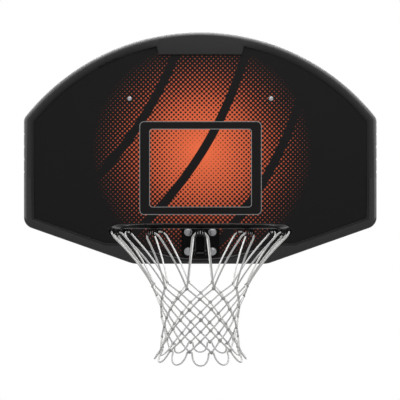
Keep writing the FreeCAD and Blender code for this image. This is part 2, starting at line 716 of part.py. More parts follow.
def make_spring_seats():
    """Stud on the rim's plate, a slotted washer on the arm's web, and an end washer with a lock nut."""
    stud = rod("stud", "y", "bolt_radius", ("0", STUD_FRONT, STUD_Z), f"{PLATE_FRONT} - {STUD_FRONT}")
    node("spring_stud", stud)
    seat = rod("seat_disc", "y", SEAT_RADIUS, ("0", SPRING_BACK, STUD_Z), "seat_thick")
    node("spring_seat_washer", cut("seat", seat, [stud_slot("seat_slot", SPRING_BACK, WEB_FRONT)]))
    ring = washer_profile("end_washer_profile", SEAT_RADIUS, "end_washer_thick")
    node("spring_end_washer", turned("end_washer", ring, ("0", NUT_BACK, STUD_Z)))
    node("spring_nut", hex_nut("lock_nut", ("0", f"{NUT_BACK} - lock_nut_height", STUD_Z), "lock_nut_height"))
    return seat


def tangent_arc(start, corner, end):
    """The arc between two points that is tangent to their lines to the corner between them."""
    chord_middle = (start + end) * 0.5
    half = (corner - start).getAngle(end - start)
    crown = chord_middle + (corner - chord_middle) * (math.tan(half / 2) / math.tan(half))
    return Part.Arc(start, crown, end).toShape()


def quarter_arcs(point, turns):
    """Pairs of tangent arcs that follow a curve, one pair for each quarter turn."""
    nudge = 1e-4
    edges = []
    count = round(turns * 4)
    for k in range(count):
        first, last = turns * k / count, turns * (k + 1) / count
        start, end = point(first), point(last)
        leave, arrive = ((point(at + nudge) - point(at - nudge)).normalize() for at in (first, last))
        chord = end - start
        spread = 2 * (1 - leave.dot(arrive))
        along = chord.dot(leave + arrive)
        reach = (math.sqrt(along ** 2 + spread * chord.dot(chord)) - along) / spread
        middle = (start + end + (leave - arrive) * reach) * 0.5
        edges.append(tangent_arc(start, start + leave * reach, middle))
        edges.append(tangent_arc(middle, end - arrive * reach, end))
    return edges


def make_spring(seat):
    """Coil spring between the two washers, with closer turns at its ends."""
    doc.recompute()
    seat_at = seat.Placement.Base
    wire = size("spring_wire_radius")
    mean = size("arm_inner") - size("seat_gap") - size("spring_play") - wire
    turns = size("spring_turns")
    dead = size("spring_dead_turns")
    dead_pitch = 2 * wire + size("spring_dead_space")
    end_gap = wire + size("spring_play")
    live_pitch = (size("spring_length") - 2 * end_gap - 2 * dead * dead_pitch) / (turns - 2 * dead)

    def climb(turn):
        low = min(turn, dead) * dead_pitch
        high = max(turn - (turns - dead), 0) * dead_pitch
        return low + high + min(max(turn - dead, 0), turns - 2 * dead) * live_pitch

    def point(turn):
        ease = 0.06
        level = sum(climb(turn + ease * shift) for shift in range(-2, 3)) / 5
        angle = math.tau * turn
        return seat_at + FreeCAD.Vector(mean * math.cos(angle), -end_gap - level, mean * math.sin(angle))

    path = Part.Wire(quarter_arcs(point, turns))
    circle = Part.Wire(Part.makeCircle(wire, point(0), path.Edges[0].tangentAt(path.Edges[0].FirstParameter)))
    coil = doc.addObject("Part::Feature", "coil")
    coil.Shape = path.makePipeShell([circle], True, False)
    node("flex_spring", coil)
    samples = 400
    points = [point(turns * k / samples) for k in range(samples + 1)]
    half_turn = samples / turns / 2
    gap = min((p - q).Length for i, p in enumerate(points) for j, q in enumerate(points) if j - i > half_turn)
    print(f"flex_spring least gap to itself {gap - 2 * wire:.2f} mm, volume {coil.Shape.Volume:.0f} mm3, "
          f"section times length {math.pi * wire ** 2 * path.Length:.0f} mm3")


def make_ring():
    """Round rod bent to a ring."""
    ring = doc.addObject("Part::Torus", "ring")
    bind(ring, {"Radius1": RING_RADIUS, "Radius2": "rod_radius"})
    place(ring, ("0", RING_Y, "-ring_drop"))
    node("hoop_ring", ring)
    doc.recompute()
    return ring.Placement.Base


def around(centre, radius, angle, height):
    """A point about the ring's centre. Angle 0 is the front, and height is from the ring's plane."""
    return centre + FreeCAD.Vector(radius * math.sin(angle), -radius * math.cos(angle), height)


def hook_angles():
    count = round(size("hook_count"))
    return [math.tau * k / count for k in range(count)]


def make_hooks(centre):
    """Ram's-horn hooks: each one wire, bent down from the ring, out and up, with both ends curled inwards."""
    half = size("hook_half")
    bend = size("hook_bend")
    corner = size("hook_corner")
    curl = size("hook_curl")
    stem_radius = size("ring_inner") + size("rod_radius") + size("hook_stem_out")
    top = -size("rod_radius") - size("weld_gap")
    back = top - size("hook_wire_radius")
    trough = top - size("hook_stem")
    crown = trough + size("hook_rise")
    tip = crown - size("hook_tip")
    front = 2 * bend

    def at(side, out, height):
        return around(centre, stem_radius + out, 0, height) + FreeCAD.Vector(side, 0, 0)

    def horn(way):
        """Half of the wire, from its tip to the ring."""
        side = way * half
        inner = side - way * 2 * curl
        cut_off = corner * (1 - math.sqrt(0.5))
        shoulder = at(side - way * cut_off, 0, back - cut_off)
        return [
            Part.makeLine(at(inner, front, tip), at(inner, front, crown)),
            Part.Arc(at(inner, front, crown), at(side - way * curl, front, crown + curl),
                     at(side, front, crown)).toShape(),
            Part.makeLine(at(side, front, crown), at(side, front, trough)),
            Part.Arc(at(side, front, trough), at(side, bend, trough - bend), at(side, 0, trough)).toShape(),
            Part.makeLine(at(side, 0, trough), at(side, 0, back - corner)),
            Part.Arc(at(side, 0, back - corner), shoulder, at(side - way * corner, 0, back)).toShape(),
        ]

    across = Part.makeLine(at(corner - half, 0, back), at(half - corner, 0, back))
    path = Part.Wire(horn(-1) + [across] + horn(1)[::-1])
    up = FreeCAD.Vector(0, 0, 1)
    circle = Part.Wire(Part.makeCircle(size("hook_wire_radius"), at(2 * curl - half, front, tip), up))
    ram_horn = path.makePipeShell([circle], True, False)
    copies = []
    for angle in hook_angles():
        copy = ram_horn.copy()
        copy.rotate(centre, FreeCAD.Vector(0, 0, 1), math.degrees(angle))
        copies.append(copy)
    hooks = doc.addObject("Part::Feature", "hooks")
    hooks.Shape = Part.makeCompound(copies)
    node("net_hooks", hooks)


def barrel(at, along, radius, half_length):
    """A short round plug about a point where cords meet."""
    return Part.makeCylinder(radius, 2 * half_length, at - along * half_length, along)


def make_net(centre):
    """Knotted cord: a bight on each hook, rows of diamonds that narrow to a waist, and loops at the foot."""
    cord = size("cord_radius")
    rows = round(size("net_rows"))
    count = round(size("hook_count"))
    half_step = math.pi / count
    bight_radius = size("ring_inner") + size("rod_radius") + size("hook_stem_out") + size("hook_bend")
    trough = size("rod_radius") + size("weld_gap") + size("hook_stem") + size("hook_bend")
    bight_z = size("hook_wire_radius") + cord + size("cord_play") - trough
    bight_angle = math.atan2(size("bight_half"), bight_radius)
    bight_reach = bight_radius / math.cos(bight_angle)
    loop_angle = math.radians(size("loop_half_angle"))

    def knot_at(row, k):
        """Knots of a row stand half a step round from those of the row above."""
        radius = size("net_waist") + size("net_flare") * (row - size("net_waist_row")) ** 2
        drop = size("net_first_drop") + row * size("net_row_pitch")
        return around(centre, radius, half_step * (2 * k + 1 + row % 2), -drop)

    def knot(at):
        outward = FreeCAD.Vector(at.x - centre.x, at.y - centre.y, 0).normalize()
        return barrel(at, outward, cord + size("knot_swell"), cord + size("knot_cover"))

    def bend(before, at, after):
        across = (before - at).cross(after - at).normalize()
        return barrel(at, across, cord + size("bend_swell"), cord + size("bend_swell"))

    chains = []
    for k, angle in enumerate(hook_angles()):
        left, right = (around(centre, bight_reach, angle + way * bight_angle, bight_z) for way in (-1, 1))
        chains.append([knot_at(0, k - 1), left, right, knot_at(0, k)])
        for row in range(rows - 1):
            across = k - 1 if row % 2 == 0 else k + 1
            chains += [[knot_at(row, k), knot_at(row + 1, k)], [knot_at(row, k), knot_at(row + 1, across)]]
        foot = half_step * (2 * k + 2 + (rows - 1) % 2)
        low, high = (around(centre, size("loop_radius"), foot + way * loop_angle, -size("loop_drop"))
                     for way in (-1, 1))
        chains.append([knot_at(rows - 1, k), low, high, knot_at(rows - 1, k + 1)])
    solids = [knot(knot_at(row, k)) for row in range(rows) for k in range(count)]
    for chain in chains:
        solids += [Part.makeCylinder(cord, (end - start).Length, start, end - start)
                   for start, end in zip(chain, chain[1:])]
        solids += [bend(*corner) for corner in zip(chain, chain[1:], chain[2:])]
    net = doc.addObject("Part::Feature", "knotted_cord")
    net.Shape = solids[0].multiFuse(solids[1:])
    node("net", net)


make_panel()
make_frame()
make_frame_fixings()
make_rear_frame()
make_top_bolts()
make_rim_plate()
make_rim_bolts()
make_pivot()
make_spring(make_spring_seats())
make_arm()
ring_centre = make_ring()
make_hooks(ring_centre)
make_net(ring_centre)
doc.recompute()

failed = [part.Label for part in doc.Objects if {"Invalid", "Error"} & set(part.State)]
failed += [part.Label for part in nodes if not part.Shape.Solids or not part.Shape.isValid()]
if failed:
    raise SystemExit(f"not built: {failed}")
os.makedirs("parts", exist_ok=True)
for part in nodes:
    part.Shape.exportStep(f"parts/{part.Label}.step")
    print(part.Label, len(part.Shape.Solids), round(part.Shape.Volume))
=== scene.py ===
"""Looks of a fan-shaped basketball backboard with a spring-held hinged rim and a knotted net.

Metres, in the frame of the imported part: X to the player's right, Y away from the player, Z up.
"""
import math
import random

import bmesh
import bpy
from mathutils import Matrix, Vector
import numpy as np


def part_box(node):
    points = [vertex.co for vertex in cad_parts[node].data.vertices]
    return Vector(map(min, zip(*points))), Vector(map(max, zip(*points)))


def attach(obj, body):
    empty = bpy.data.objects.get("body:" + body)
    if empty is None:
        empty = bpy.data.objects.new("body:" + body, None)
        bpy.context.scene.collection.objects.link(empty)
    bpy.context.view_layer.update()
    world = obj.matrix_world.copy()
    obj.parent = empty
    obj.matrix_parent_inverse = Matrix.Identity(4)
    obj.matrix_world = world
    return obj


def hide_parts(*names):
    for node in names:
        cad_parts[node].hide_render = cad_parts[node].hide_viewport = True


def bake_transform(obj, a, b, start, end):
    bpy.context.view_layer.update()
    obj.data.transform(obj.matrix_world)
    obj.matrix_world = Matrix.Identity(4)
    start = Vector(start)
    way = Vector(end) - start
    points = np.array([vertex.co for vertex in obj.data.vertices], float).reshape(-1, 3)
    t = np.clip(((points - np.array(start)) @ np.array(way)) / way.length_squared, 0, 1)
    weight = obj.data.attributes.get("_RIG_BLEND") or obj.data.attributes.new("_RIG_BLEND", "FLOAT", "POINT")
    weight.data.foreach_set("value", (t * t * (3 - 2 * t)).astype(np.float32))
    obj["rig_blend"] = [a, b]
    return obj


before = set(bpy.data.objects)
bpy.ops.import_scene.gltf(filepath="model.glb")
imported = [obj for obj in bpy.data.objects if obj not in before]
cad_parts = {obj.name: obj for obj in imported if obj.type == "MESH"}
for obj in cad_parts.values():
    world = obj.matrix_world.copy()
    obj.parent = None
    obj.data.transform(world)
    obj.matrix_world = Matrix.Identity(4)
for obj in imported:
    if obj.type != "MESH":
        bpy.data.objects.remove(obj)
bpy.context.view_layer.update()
scene = bpy.context.scene

# Studio. A white room all round, soft lamps above, in front and behind, and strip lamps for the edges.
# The camera stands level with the ring, and its picture is shifted up to take in the board. The floor
# lies where a court would be, 3.05 m under the ring.
WHITE = (1.0, 1.0, 1.0, 1.0)
ROOM_LIGHT = 0.45
RING_PLANE = -0.2
CAMERA_DISTANCE = 2.817
LENS_MM = 78.73
SENSOR_MM = 36.0
PICTURE_SHIFT_UP = 0.065
PICTURE_SHIFT_RIGHT = -0.0007
RING_OVER_FLOOR = 3.05
FLOOR_HALF = 6.0
LAMP_AIM = Vector((0.0, -0.1, 0.0))
LAMPS = {
    "overhead_lamp": {"place": (0.0, -1.2, 2.6), "size": (2.8, 2.0), "power": 42.0},
    "front_lamp": {"place": (1.2, -3.0, 2.6), "size": (2.4, 1.2), "power": 36.0},
    "rear_lamp": {"place": (0.6, 2.6, 1.2), "size": (2.4, 2.4), "power": 45.0},
    "left_edge_lamp": {"place": (-1.9, 0.1, 0.9), "size": (0.3, 1.7), "power": 20.0},
    "right_edge_lamp": {"place": (1.9, 0.1, 0.9), "size": (0.3, 1.7), "power": 20.0},
    "top_edge_lamp": {"place": (0.0, 0.05, 1.5), "size": (2.4, 0.3), "power": 44.0},
}


def set_in(tree, node, **inputs):
    """Sets or links a node's input sockets by name, or by number after an underscore."""
    for name, value in inputs.items():
        socket = node.inputs[int(name[1:])] if name[0] == "_" else node.inputs[name.replace("_", " ")]
        if isinstance(value, bpy.types.NodeSocket):
            tree.links.new(value, socket)
        else:
            socket.default_value = value


def put(tree, kind, settings=None, **inputs):
    """A new node of a tree, with its settings and inputs."""
    made = tree.nodes.new(kind)
    for name, value in (settings or {}).items():
        setattr(made, name, value)
    set_in(tree, made, **inputs)
    return made


def calc(tree, operation, *values):
    """The result of a Math node on numbers and sockets."""
    inputs = {f"_{k}": value for k, value in enumerate(values)}
    return put(tree, "ShaderNodeMath", {"operation": operation}, **inputs).outputs[0]


def emptied(owner):
    """The node tree of a room or a material, with nothing in it yet."""
    owner.use_nodes = True
    owner.node_tree.nodes.clear()
    return owner.node_tree


def shown_white(tree):
    """A mask of the rays that meet plain white: straight ones, mirrored ones and those through a pane."""
    ray = put(tree, "ShaderNodeLightPath").outputs
    through = calc(tree, "MAXIMUM", ray["Is Camera Ray"], ray["Is Transmission Ray"])
    return calc(tree, "MAXIMUM", through, ray["Is Glossy Ray"])


def between(tree, factor, low, high):
    """A number that goes from low to high with a factor."""
    return put(tree, "ShaderNodeMix", _0=factor, _2=low, _3=high).outputs[0]


scene.world = bpy.data.worlds.new("white_room")
tree = emptied(scene.world)
level = between(tree, shown_white(tree), ROOM_LIGHT, 1.0)
backdrop = put(tree, "ShaderNodeBackground", Color=WHITE, Strength=level)
put(tree, "ShaderNodeOutputWorld", Surface=backdrop.outputs[0])

for name, lamp in LAMPS.items():
    bulb = bpy.data.lights.new(name, "AREA")
    bulb.shape = "RECTANGLE"
    bulb.size, bulb.size_y = lamp["size"]
    bulb.energy = lamp["power"]
    stand = bpy.data.objects.new(name, bulb)
    stand.location = lamp["place"]
    stand.rotation_euler = (LAMP_AIM - stand.location).to_track_quat("-Z", "Y").to_euler()
    scene.collection.objects.link(stand)

floor_mesh = bpy.data.meshes.new("floor")
floor_corners = [(x * FLOOR_HALF, y * FLOOR_HALF, RING_PLANE - RING_OVER_FLOOR)
                 for x, y in ((-1, -1), (1, -1), (1, 1), (-1, 1))]
floor_mesh.from_pydata(floor_corners, [], [(0, 1, 2, 3)])
floor = bpy.data.objects.new("floor", floor_mesh)
scene.collection.objects.link(floor)
pale = bpy.data.materials.new("pale_floor")
tree = emptied(pale)
matt = put(tree, "ShaderNodeBsdfDiffuse", Color=WHITE).outputs[0]
glow = put(tree, "ShaderNodeEmission", Color=WHITE, Strength=1.0).outputs[0]
mixed = put(tree, "ShaderNodeMixShader", _0=shown_white(tree), _1=matt, _2=glow).outputs[0]
put(tree, "ShaderNodeOutputMaterial", Surface=mixed)
floor_mesh.materials.append(pale)

eye = bpy.data.cameras.new("player_eye")
eye.lens = LENS_MM
eye.sensor_width = SENSOR_MM
eye.shift_x = PICTURE_SHIFT_RIGHT
eye.shift_y = PICTURE_SHIFT_UP
camera = bpy.data.objects.new("player_eye", eye)
camera.location = (0.0, -CAMERA_DISTANCE, RING_PLANE)
camera.rotation_euler = (math.pi / 2, 0, 0)
scene.collection.objects.link(camera)
scene.camera = camera
scene.view_settings.view_transform = "Standard"

# Board. A flat black plastic sheet, pressed with a fine grain and screen-printed on its front face:
# an orange field of round dots that fades to black, curved stripes across it and a target box.
BOARD_BLACK = (0.0104, 0.0095, 0.0097, 1.0)
FIELD_BRIGHT = (1.0, 0.188, 0.074, 1.0)
FIELD_DEEP = (0.34, 0.068, 0.036, 1.0)
LINE_GREY = (0.25, 0.25, 0.25, 1.0)
FIELD_CENTRE = (0.005, 0.034)
FIELD_RADIUS = 0.335
FIELD_SOLID = 0.06
DOT_PITCH = 0.0148
DOT_SOLID = 1.0
DOT_LAST = -0.93
STRIPE_TURN = math.radians(32)
STRIPE_PITCH = 0.215
STRIPE_WIDTH = 0.027
STRIPE_BEND = 0.42
BOX_CENTRE = (0.0008, -0.0165)
BOX_OUTER = (0.1925, 0.147)
BOX_INNER = (0.1613, 0.1235)
BOX_CORNERS = (0.014, 0.009)
BOX_LINE = 0.0022
PRINT_DEPTH = 0.0004
GRAIN_STRENGTH = 0.5


def new_group(kind, name, inputs, outputs):
    """A new group of shader or geometry nodes, with named sockets of some types, and its inputs."""
    group = bpy.data.node_groups.new(name, f"{kind}NodeTree")
    for way, sockets in (("INPUT", inputs), ("OUTPUT", outputs)):
        for socket, form in sockets.items():
            group.interface.new_socket(socket, in_out=way, socket_type=f"NodeSocket{form}")
    return group, put(group, "NodeGroupInput").outputs


def grain_group():
    """Fine grain of pressed plastic, paint or rubber, with slow clouds over it."""
    group, given = new_group(
        "Shader", "surface_grain",
        {"Coordinates": "Vector", "Grains per Metre": "Float", "Clouds per Metre": "Float"},
        {"Height": "Float", "Cloud": "Float"})
    place, grains = given["Coordinates"], given["Grains per Metre"]
    fine = put(group, "ShaderNodeTexNoise", Vector=place, Scale=grains, Detail=3.0)
    cells = put(group, "ShaderNodeTexVoronoi", {"feature": "SMOOTH_F1"}, Vector=place, Scale=grains)
    cloud = put(group, "ShaderNodeTexNoise", Vector=place, Scale=given["Clouds per Metre"], Detail=4.0)
    height = calc(group, "ADD", fine.outputs["Fac"], cells.outputs["Distance"])
    put(group, "NodeGroupOutput", Height=height, Cloud=cloud.outputs["Fac"])
    return group


def material(name):
    """An empty material: its tree, its Principled BSDF and the piece's Object coordinates."""
    made = bpy.data.materials.new(name)
    tree = emptied(made)
    shader = put(tree, "ShaderNodeBsdfPrincipled")
    put(tree, "ShaderNodeOutputMaterial", Surface=shader.outputs[0])
    return made, tree, shader, put(tree, "ShaderNodeTexCoord").outputs["Object"]


def tint(tree, factor, low, high):
    """A colour that goes from low to high with a factor."""
    return put(tree, "ShaderNodeMix", {"data_type": "RGBA"}, _0=factor, _6=low, _7=high).outputs[2]


def grained(tree, shader, place, grains, clouds, depth, smooth, rough):
    """Grain on a shader's normal and clouds in its roughness. Returns the clouds."""
    grain = put(tree, "ShaderNodeGroup", {"node_tree": GRAIN}, Coordinates=place, Grains_per_Metre=grains,
                Clouds_per_Metre=clouds).outputs
    bump = put(tree, "ShaderNodeBump", Height=grain["Height"], Strength=GRAIN_STRENGTH, Distance=depth)
    set_in(tree, shader, Normal=bump.outputs[0], Roughness=between(tree, grain["Cloud"], smooth, rough))
    return grain["Cloud"]


def coat(made, finish):
    """Puts one material all over an object."""
    made.data.materials.clear()
    made.data.materials.append(finish)


def dress(finish, *names):
    """Puts a material on CAD nodes."""
    for name in names:
        coat(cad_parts[name], finish)


def box_distance(tree, x, z, half, corner):
    """How far a point is outside a rectangle with round corners."""
    over_x = calc(tree, "SUBTRACT", calc(tree, "ABSOLUTE", x), half[0] - corner)
    over_z = calc(tree, "SUBTRACT", calc(tree, "ABSOLUTE", z), half[1] - corner)
    round_x = calc(tree, "POWER", calc(tree, "MAXIMUM", over_x, 0.0), 2.0)
    round_z = calc(tree, "POWER", calc(tree, "MAXIMUM", over_z, 0.0), 2.0)
    outside = calc(tree, "SQRT", calc(tree, "ADD", round_x, round_z))
    inside = calc(tree, "MINIMUM", calc(tree, "MAXIMUM", over_x, over_z), 0.0)
    return calc(tree, "SUBTRACT", calc(tree, "ADD", outside, inside), corner)


GRAIN = grain_group()
board, tree, shader, place = material("printed_board")
across, depth_in, up = put(tree, "ShaderNodeSeparateXYZ", Vector=place).outputs
field_x = calc(tree, "SUBTRACT", across, FIELD_CENTRE[0])
field_z = calc(tree, "SUBTRACT", up, FIELD_CENTRE[1])
reach_squared = calc(tree, "ADD", calc(tree, "POWER", field_x, 2.0), calc(tree, "POWER", field_z, 2.0))
reach = calc(tree, "DIVIDE", calc(tree, "SQRT", reach_squared), FIELD_RADIUS)
wave_x = calc(tree, "COSINE", calc(tree, "MULTIPLY", field_x, math.tau / DOT_PITCH))
wave_z = calc(tree, "COSINE", calc(tree, "MULTIPLY", field_z, math.tau / DOT_PITCH))
dots = calc(tree, "MULTIPLY", wave_x, wave_z)
cover = put(tree, "ShaderNodeMapRange", {"clamp": False}, _0=reach, _1=FIELD_SOLID, _2=1.0, _3=DOT_SOLID,
            _4=DOT_LAST).outputs[0]
orange = calc(tree, "LESS_THAN", dots, cover)
along = calc(tree, "ADD", calc(tree, "MULTIPLY", field_x, math.sin(STRIPE_TURN)),
             calc(tree, "MULTIPLY", field_z, math.cos(STRIPE_TURN)))
aside = calc(tree, "SUBTRACT", calc(tree, "MULTIPLY", field_x, math.cos(STRIPE_TURN)),
             calc(tree, "MULTIPLY", field_z, math.sin(STRIPE_TURN)))
bowed = calc(tree, "ADD", aside, calc(tree, "MULTIPLY", calc(tree, "POWER", along, 2.0), STRIPE_BEND))
stripe = calc(tree, "GREATER_THAN", calc(tree, "PINGPONG", bowed, STRIPE_PITCH / 2), STRIPE_WIDTH / 2)
box_x = calc(tree, "SUBTRACT", across, BOX_CENTRE[0])
box_z = calc(tree, "SUBTRACT", up, BOX_CENTRE[1])
outer = box_distance(tree, box_x, box_z, BOX_OUTER, BOX_CORNERS[0])
inner = box_distance(tree, box_x, box_z, BOX_INNER, BOX_CORNERS[1])
off_band = calc(tree, "MAXIMUM", calc(tree, "GREATER_THAN", outer, 0.0), calc(tree, "LESS_THAN", inner, 0.0))
front = calc(tree, "LESS_THAN", depth_in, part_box("backboard_panel")[0].y + PRINT_DEPTH)
printed = calc(tree, "MULTIPLY", off_band, front)
orange = calc(tree, "MULTIPLY", calc(tree, "MULTIPLY", orange, stripe), printed)
outer_line = calc(tree, "LESS_THAN", calc(tree, "ABSOLUTE", outer), BOX_LINE / 2)
inner_line = calc(tree, "LESS_THAN", calc(tree, "ABSOLUTE", inner), BOX_LINE / 2)
line = calc(tree, "MULTIPLY", calc(tree, "MAXIMUM", outer_line, inner_line), front)
field = tint(tree, reach, FIELD_BRIGHT, FIELD_DEEP)
print_colour = tint(tree, line, tint(tree, orange, BOARD_BLACK, field), LINE_GREY)
grained(tree, shader, place, grains=700.0, clouds=9.0, depth=0.0001, smooth=0.42, rough=0.56)
set_in(tree, shader, Base_Color=print_colour, Specular_IOR_Level=0.06)
dress(board, "backboard_panel")

# Edging. Two charcoal plastic mouldings, spark-grained in the mould, clip over the board's rim and are screwed
# on from behind. The upper one's face falls towards the board, and the lower one has a step set back round the
# board. Their outer edge is round, with a painted highlight where it faces up or sideways. Painted shade darkens
# the lower one's step and the upper one's inner side.
EDGING_CHARCOAL = (0.0210, 0.0210, 0.0213, 1.0)
EDGING_RUBBED = (0.030, 0.030, 0.0305, 1.0)
# Painted shade for the lower edging's step and for the upper one's inner side and tab. Painted highlight for the outer
# round and the scoop's lip.
EDGING_PAINTED_SHADE = (0.003, 0.003, 0.003, 1.0)
EDGING_PAINTED_HIGHLIGHT = (0.11, 0.11, 0.111, 1.0)
STREAK_LEAN = (0.3, 0.2, 0.5)
STREAK_STRETCH = (1.0, 1.0, 0.05)
STREAK_LEVELS = (0.58, 0.72)
PATCH_LEVELS = (0.45, 0.70)
LEDGE_DEPTH = 0.002
LEDGE_ROUND = 0.0035
LEDGE_FACETS = 3
STEP_ROUND = 0.0016
# Share of the painted highlight on the lower edging's face, next to its outer round.
STEP_HIGHLIGHT = 0.15
CROWN_FALL = 0.0035
# Painted highlight on the outer round: its share on the face's edge, how far in it fades, and which way the round must
# face.
FACE_HIGHLIGHT = 0.7
HIGHLIGHT_WIDTH = 0.0046
HIGHLIGHT_END = 0.06
HIGHLIGHT_FORWARD = -0.12
HIGHLIGHT_DOWN = -0.05
# The scoop's lip carries a thin line of painted highlight.
SCOOP_HALF = 0.2
SCOOP_LINE = 0.005
SCOOP_SHARE = 0.5
SCOOP_UP = 0.1
SCOOP_FORWARD = (-0.985, -0.1)
TAB_HALF = 0.134
TAB_FOOT = 0.3
TAB_SHADE = 0.35
TAB_BLEND = 0.09
SAME_PLACE = 1e-6
SAME_LEVEL = 5e-5
SAME_FLAT = math.radians(0.02)
STEP_ANGLE = math.radians(30)
CREASE_ANGLE = math.radians(35)
FLAT_FORWARD = -0.999
ROUND_FORWARD = (-0.9995, -0.02)


def stretch_range(tree, value, low, high):
    """A value from 0 at one level to 1 at another."""
    return put(tree, "ShaderNodeMapRange", _0=value, _1=low, _2=high).outputs[0]


def rub_group():
    """Fine streaks where a face has been rubbed, in patches."""
    group, given = new_group(
        "Shader", "rub_marks",
        {"Coordinates": "Vector", "Streaks per Metre": "Float", "Patches per Metre": "Float"},
        {"Mask": "Float"})
    place = given["Coordinates"]
    drawn = put(group, "ShaderNodeMapping", Vector=place, Rotation=STREAK_LEAN, Scale=STREAK_STRETCH).outputs[0]
    streaks = put(group, "ShaderNodeTexNoise", Vector=drawn, Scale=given["Streaks per Metre"], Detail=2.0)
    patches = put(group, "ShaderNodeTexNoise", Vector=place, Scale=given["Patches per Metre"])
    thin = stretch_range(group, streaks.outputs["Fac"], *STREAK_LEVELS)
    patchy = stretch_range(group, patches.outputs["Fac"], *PATCH_LEVELS)
    put(group, "NodeGroupOutput", Mask=calc(group, "MULTIPLY", thin, patchy))
    return group


def rubbed(tree, place, streaks, patches):
    """The mask of a surface's rub marks."""
    return put(tree, "ShaderNodeGroup", {"node_tree": RUB_MARKS}, Coordinates=place, Streaks_per_Metre=streaks,
               Patches_per_Metre=patches).outputs["Mask"]


RUB_MARKS = rub_group()
edging, tree, shader, place = material("moulded_edging")
grained(tree, shader, place, grains=1100.0, clouds=14.0, depth=0.00012, smooth=0.30, rough=0.40)
rub = rubbed(tree, place, streaks=500.0, patches=6.0)
# One attribute darkens faces with painted shade, and another pales the outer round with a painted highlight. The rub
# marks are wear.
painted_shade = put(tree, "ShaderNodeAttribute", {"attribute_name": "ledge"}).outputs["Fac"]
painted_highlight = put(tree, "ShaderNodeAttribute", {"attribute_name": "edge_highlight"}).outputs["Fac"]
tone = tint(tree, painted_shade, tint(tree, rub, EDGING_CHARCOAL, EDGING_RUBBED), EDGING_PAINTED_SHADE)
set_in(tree, shader, Base_Color=tint(tree, painted_highlight, tone, EDGING_PAINTED_HIGHLIGHT), Specular_IOR_Level=0.20)


def new_object(name, mesh):
    """A new object in the scene, with its place in its mesh."""
    made = bpy.data.objects.new(name, mesh)
    scene.collection.objects.link(made)
    return made


def as_object(name, grid):
    """A new object with a grid's faces. The grid is used up."""
    mesh = bpy.data.meshes.new(name)
    grid.to_mesh(mesh)
    grid.free()
    return new_object(name, mesh)


def joined(name):
    """A CAD node's loose triangles as one skin."""
    grid = bmesh.new()
    grid.from_mesh(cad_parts[name].data)
    bmesh.ops.remove_doubles(grid, verts=grid.verts, dist=SAME_PLACE)
    return grid


def merged(name):
    """A CAD node's mesh as one skin, with its flat faces whole."""
    grid = joined(name)
    bmesh.ops.dissolve_limit(grid, angle_limit=SAME_FLAT, verts=grid.verts, edges=grid.edges)
    grid.normal_update()
    return grid


def apply_all(made):
    """Makes an object's modifiers permanent."""
    mesh = bpy.data.meshes.new_from_object(made.evaluated_get(bpy.context.evaluated_depsgraph_get()))
    made.modifiers.clear()
    made.data = mesh
    return made


def keep_result(made):
    """Makes an object's modifiers permanent. Flats shade flat, and edges past the crease angle stay sharp."""
    apply_all(made)
    made.data.shade_smooth()
    made.data.set_sharp_from_angle(angle=CREASE_ANGLE)
    flats = made.modifiers.new("flats", "WEIGHTED_NORMAL")
    flats.keep_sharp = True
    return apply_all(made)


def settle(made, body, slot, *nodes):
    """Hands a finished piece to the frame: its body and the CAD nodes it stands for. The slot is not used."""
    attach(made, body)
    if nodes:
        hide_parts(*nodes)


front_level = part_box("lower_frame")[0].y


def set_back(point):
    """How far a point lies behind the edging's foremost level."""
    return point.y - front_level


def at_level(level, *verts):
    """Whether corners all lie at one level behind the foremost."""
    return all(abs(set_back(vert.co) - level) < SAME_LEVEL for vert in verts)


def flats_at(grid, level):
    """The flat faces at one level behind the foremost."""
    return [face for face in grid.faces if face.normal.y < FLAT_FORWARD
            and abs(set_back(face.calc_center_median()) - level) < SAME_LEVEL]


def on_tab(vert):
    """Whether a corner belongs to the tab in the middle of the arch."""
    return abs(vert.co.x) < TAB_HALF and vert.co.z > TAB_FOOT


def round_normal(vert):
    """Which way the rounds that meet at a corner face, without the flats and walls beside them."""
    rounds = [face.normal for face in vert.link_faces if ROUND_FORWARD[0] < face.normal.y < ROUND_FORWARD[1]]
    return sum(rounds, Vector()).normalized()


def lean(vert):
    """How far those rounds face away from the board's middle. It is below zero on the inner side."""
    return round_normal(vert).xz.dot(vert.co.xz.normalized())


def paint_highlight(grid, mark, face_highlight):
    """Marks a painted highlight on the outer round, where it faces up or sideways."""
    for vert in grid.verts:
        facing = round_normal(vert)
        if lean(vert) > 0 and facing.y < HIGHLIGHT_FORWARD and facing.z > HIGHLIGHT_DOWN:
            vert[mark] = face_highlight if at_level(0.0, vert) else 1.0


def line_across(grid, spokes, distance, share=1.0):
    """A line of new corners across spokes, each an edge and its start.

    They lie at a distance from the starts, or at a share of the spoke where that is nearer.
    """
    line = [bmesh.utils.edge_split(edge, start, min(distance / edge.calc_length(), share))[1]
            for edge, start in spokes]
    bmesh.ops.connect_verts(grid, verts=line)
    return line


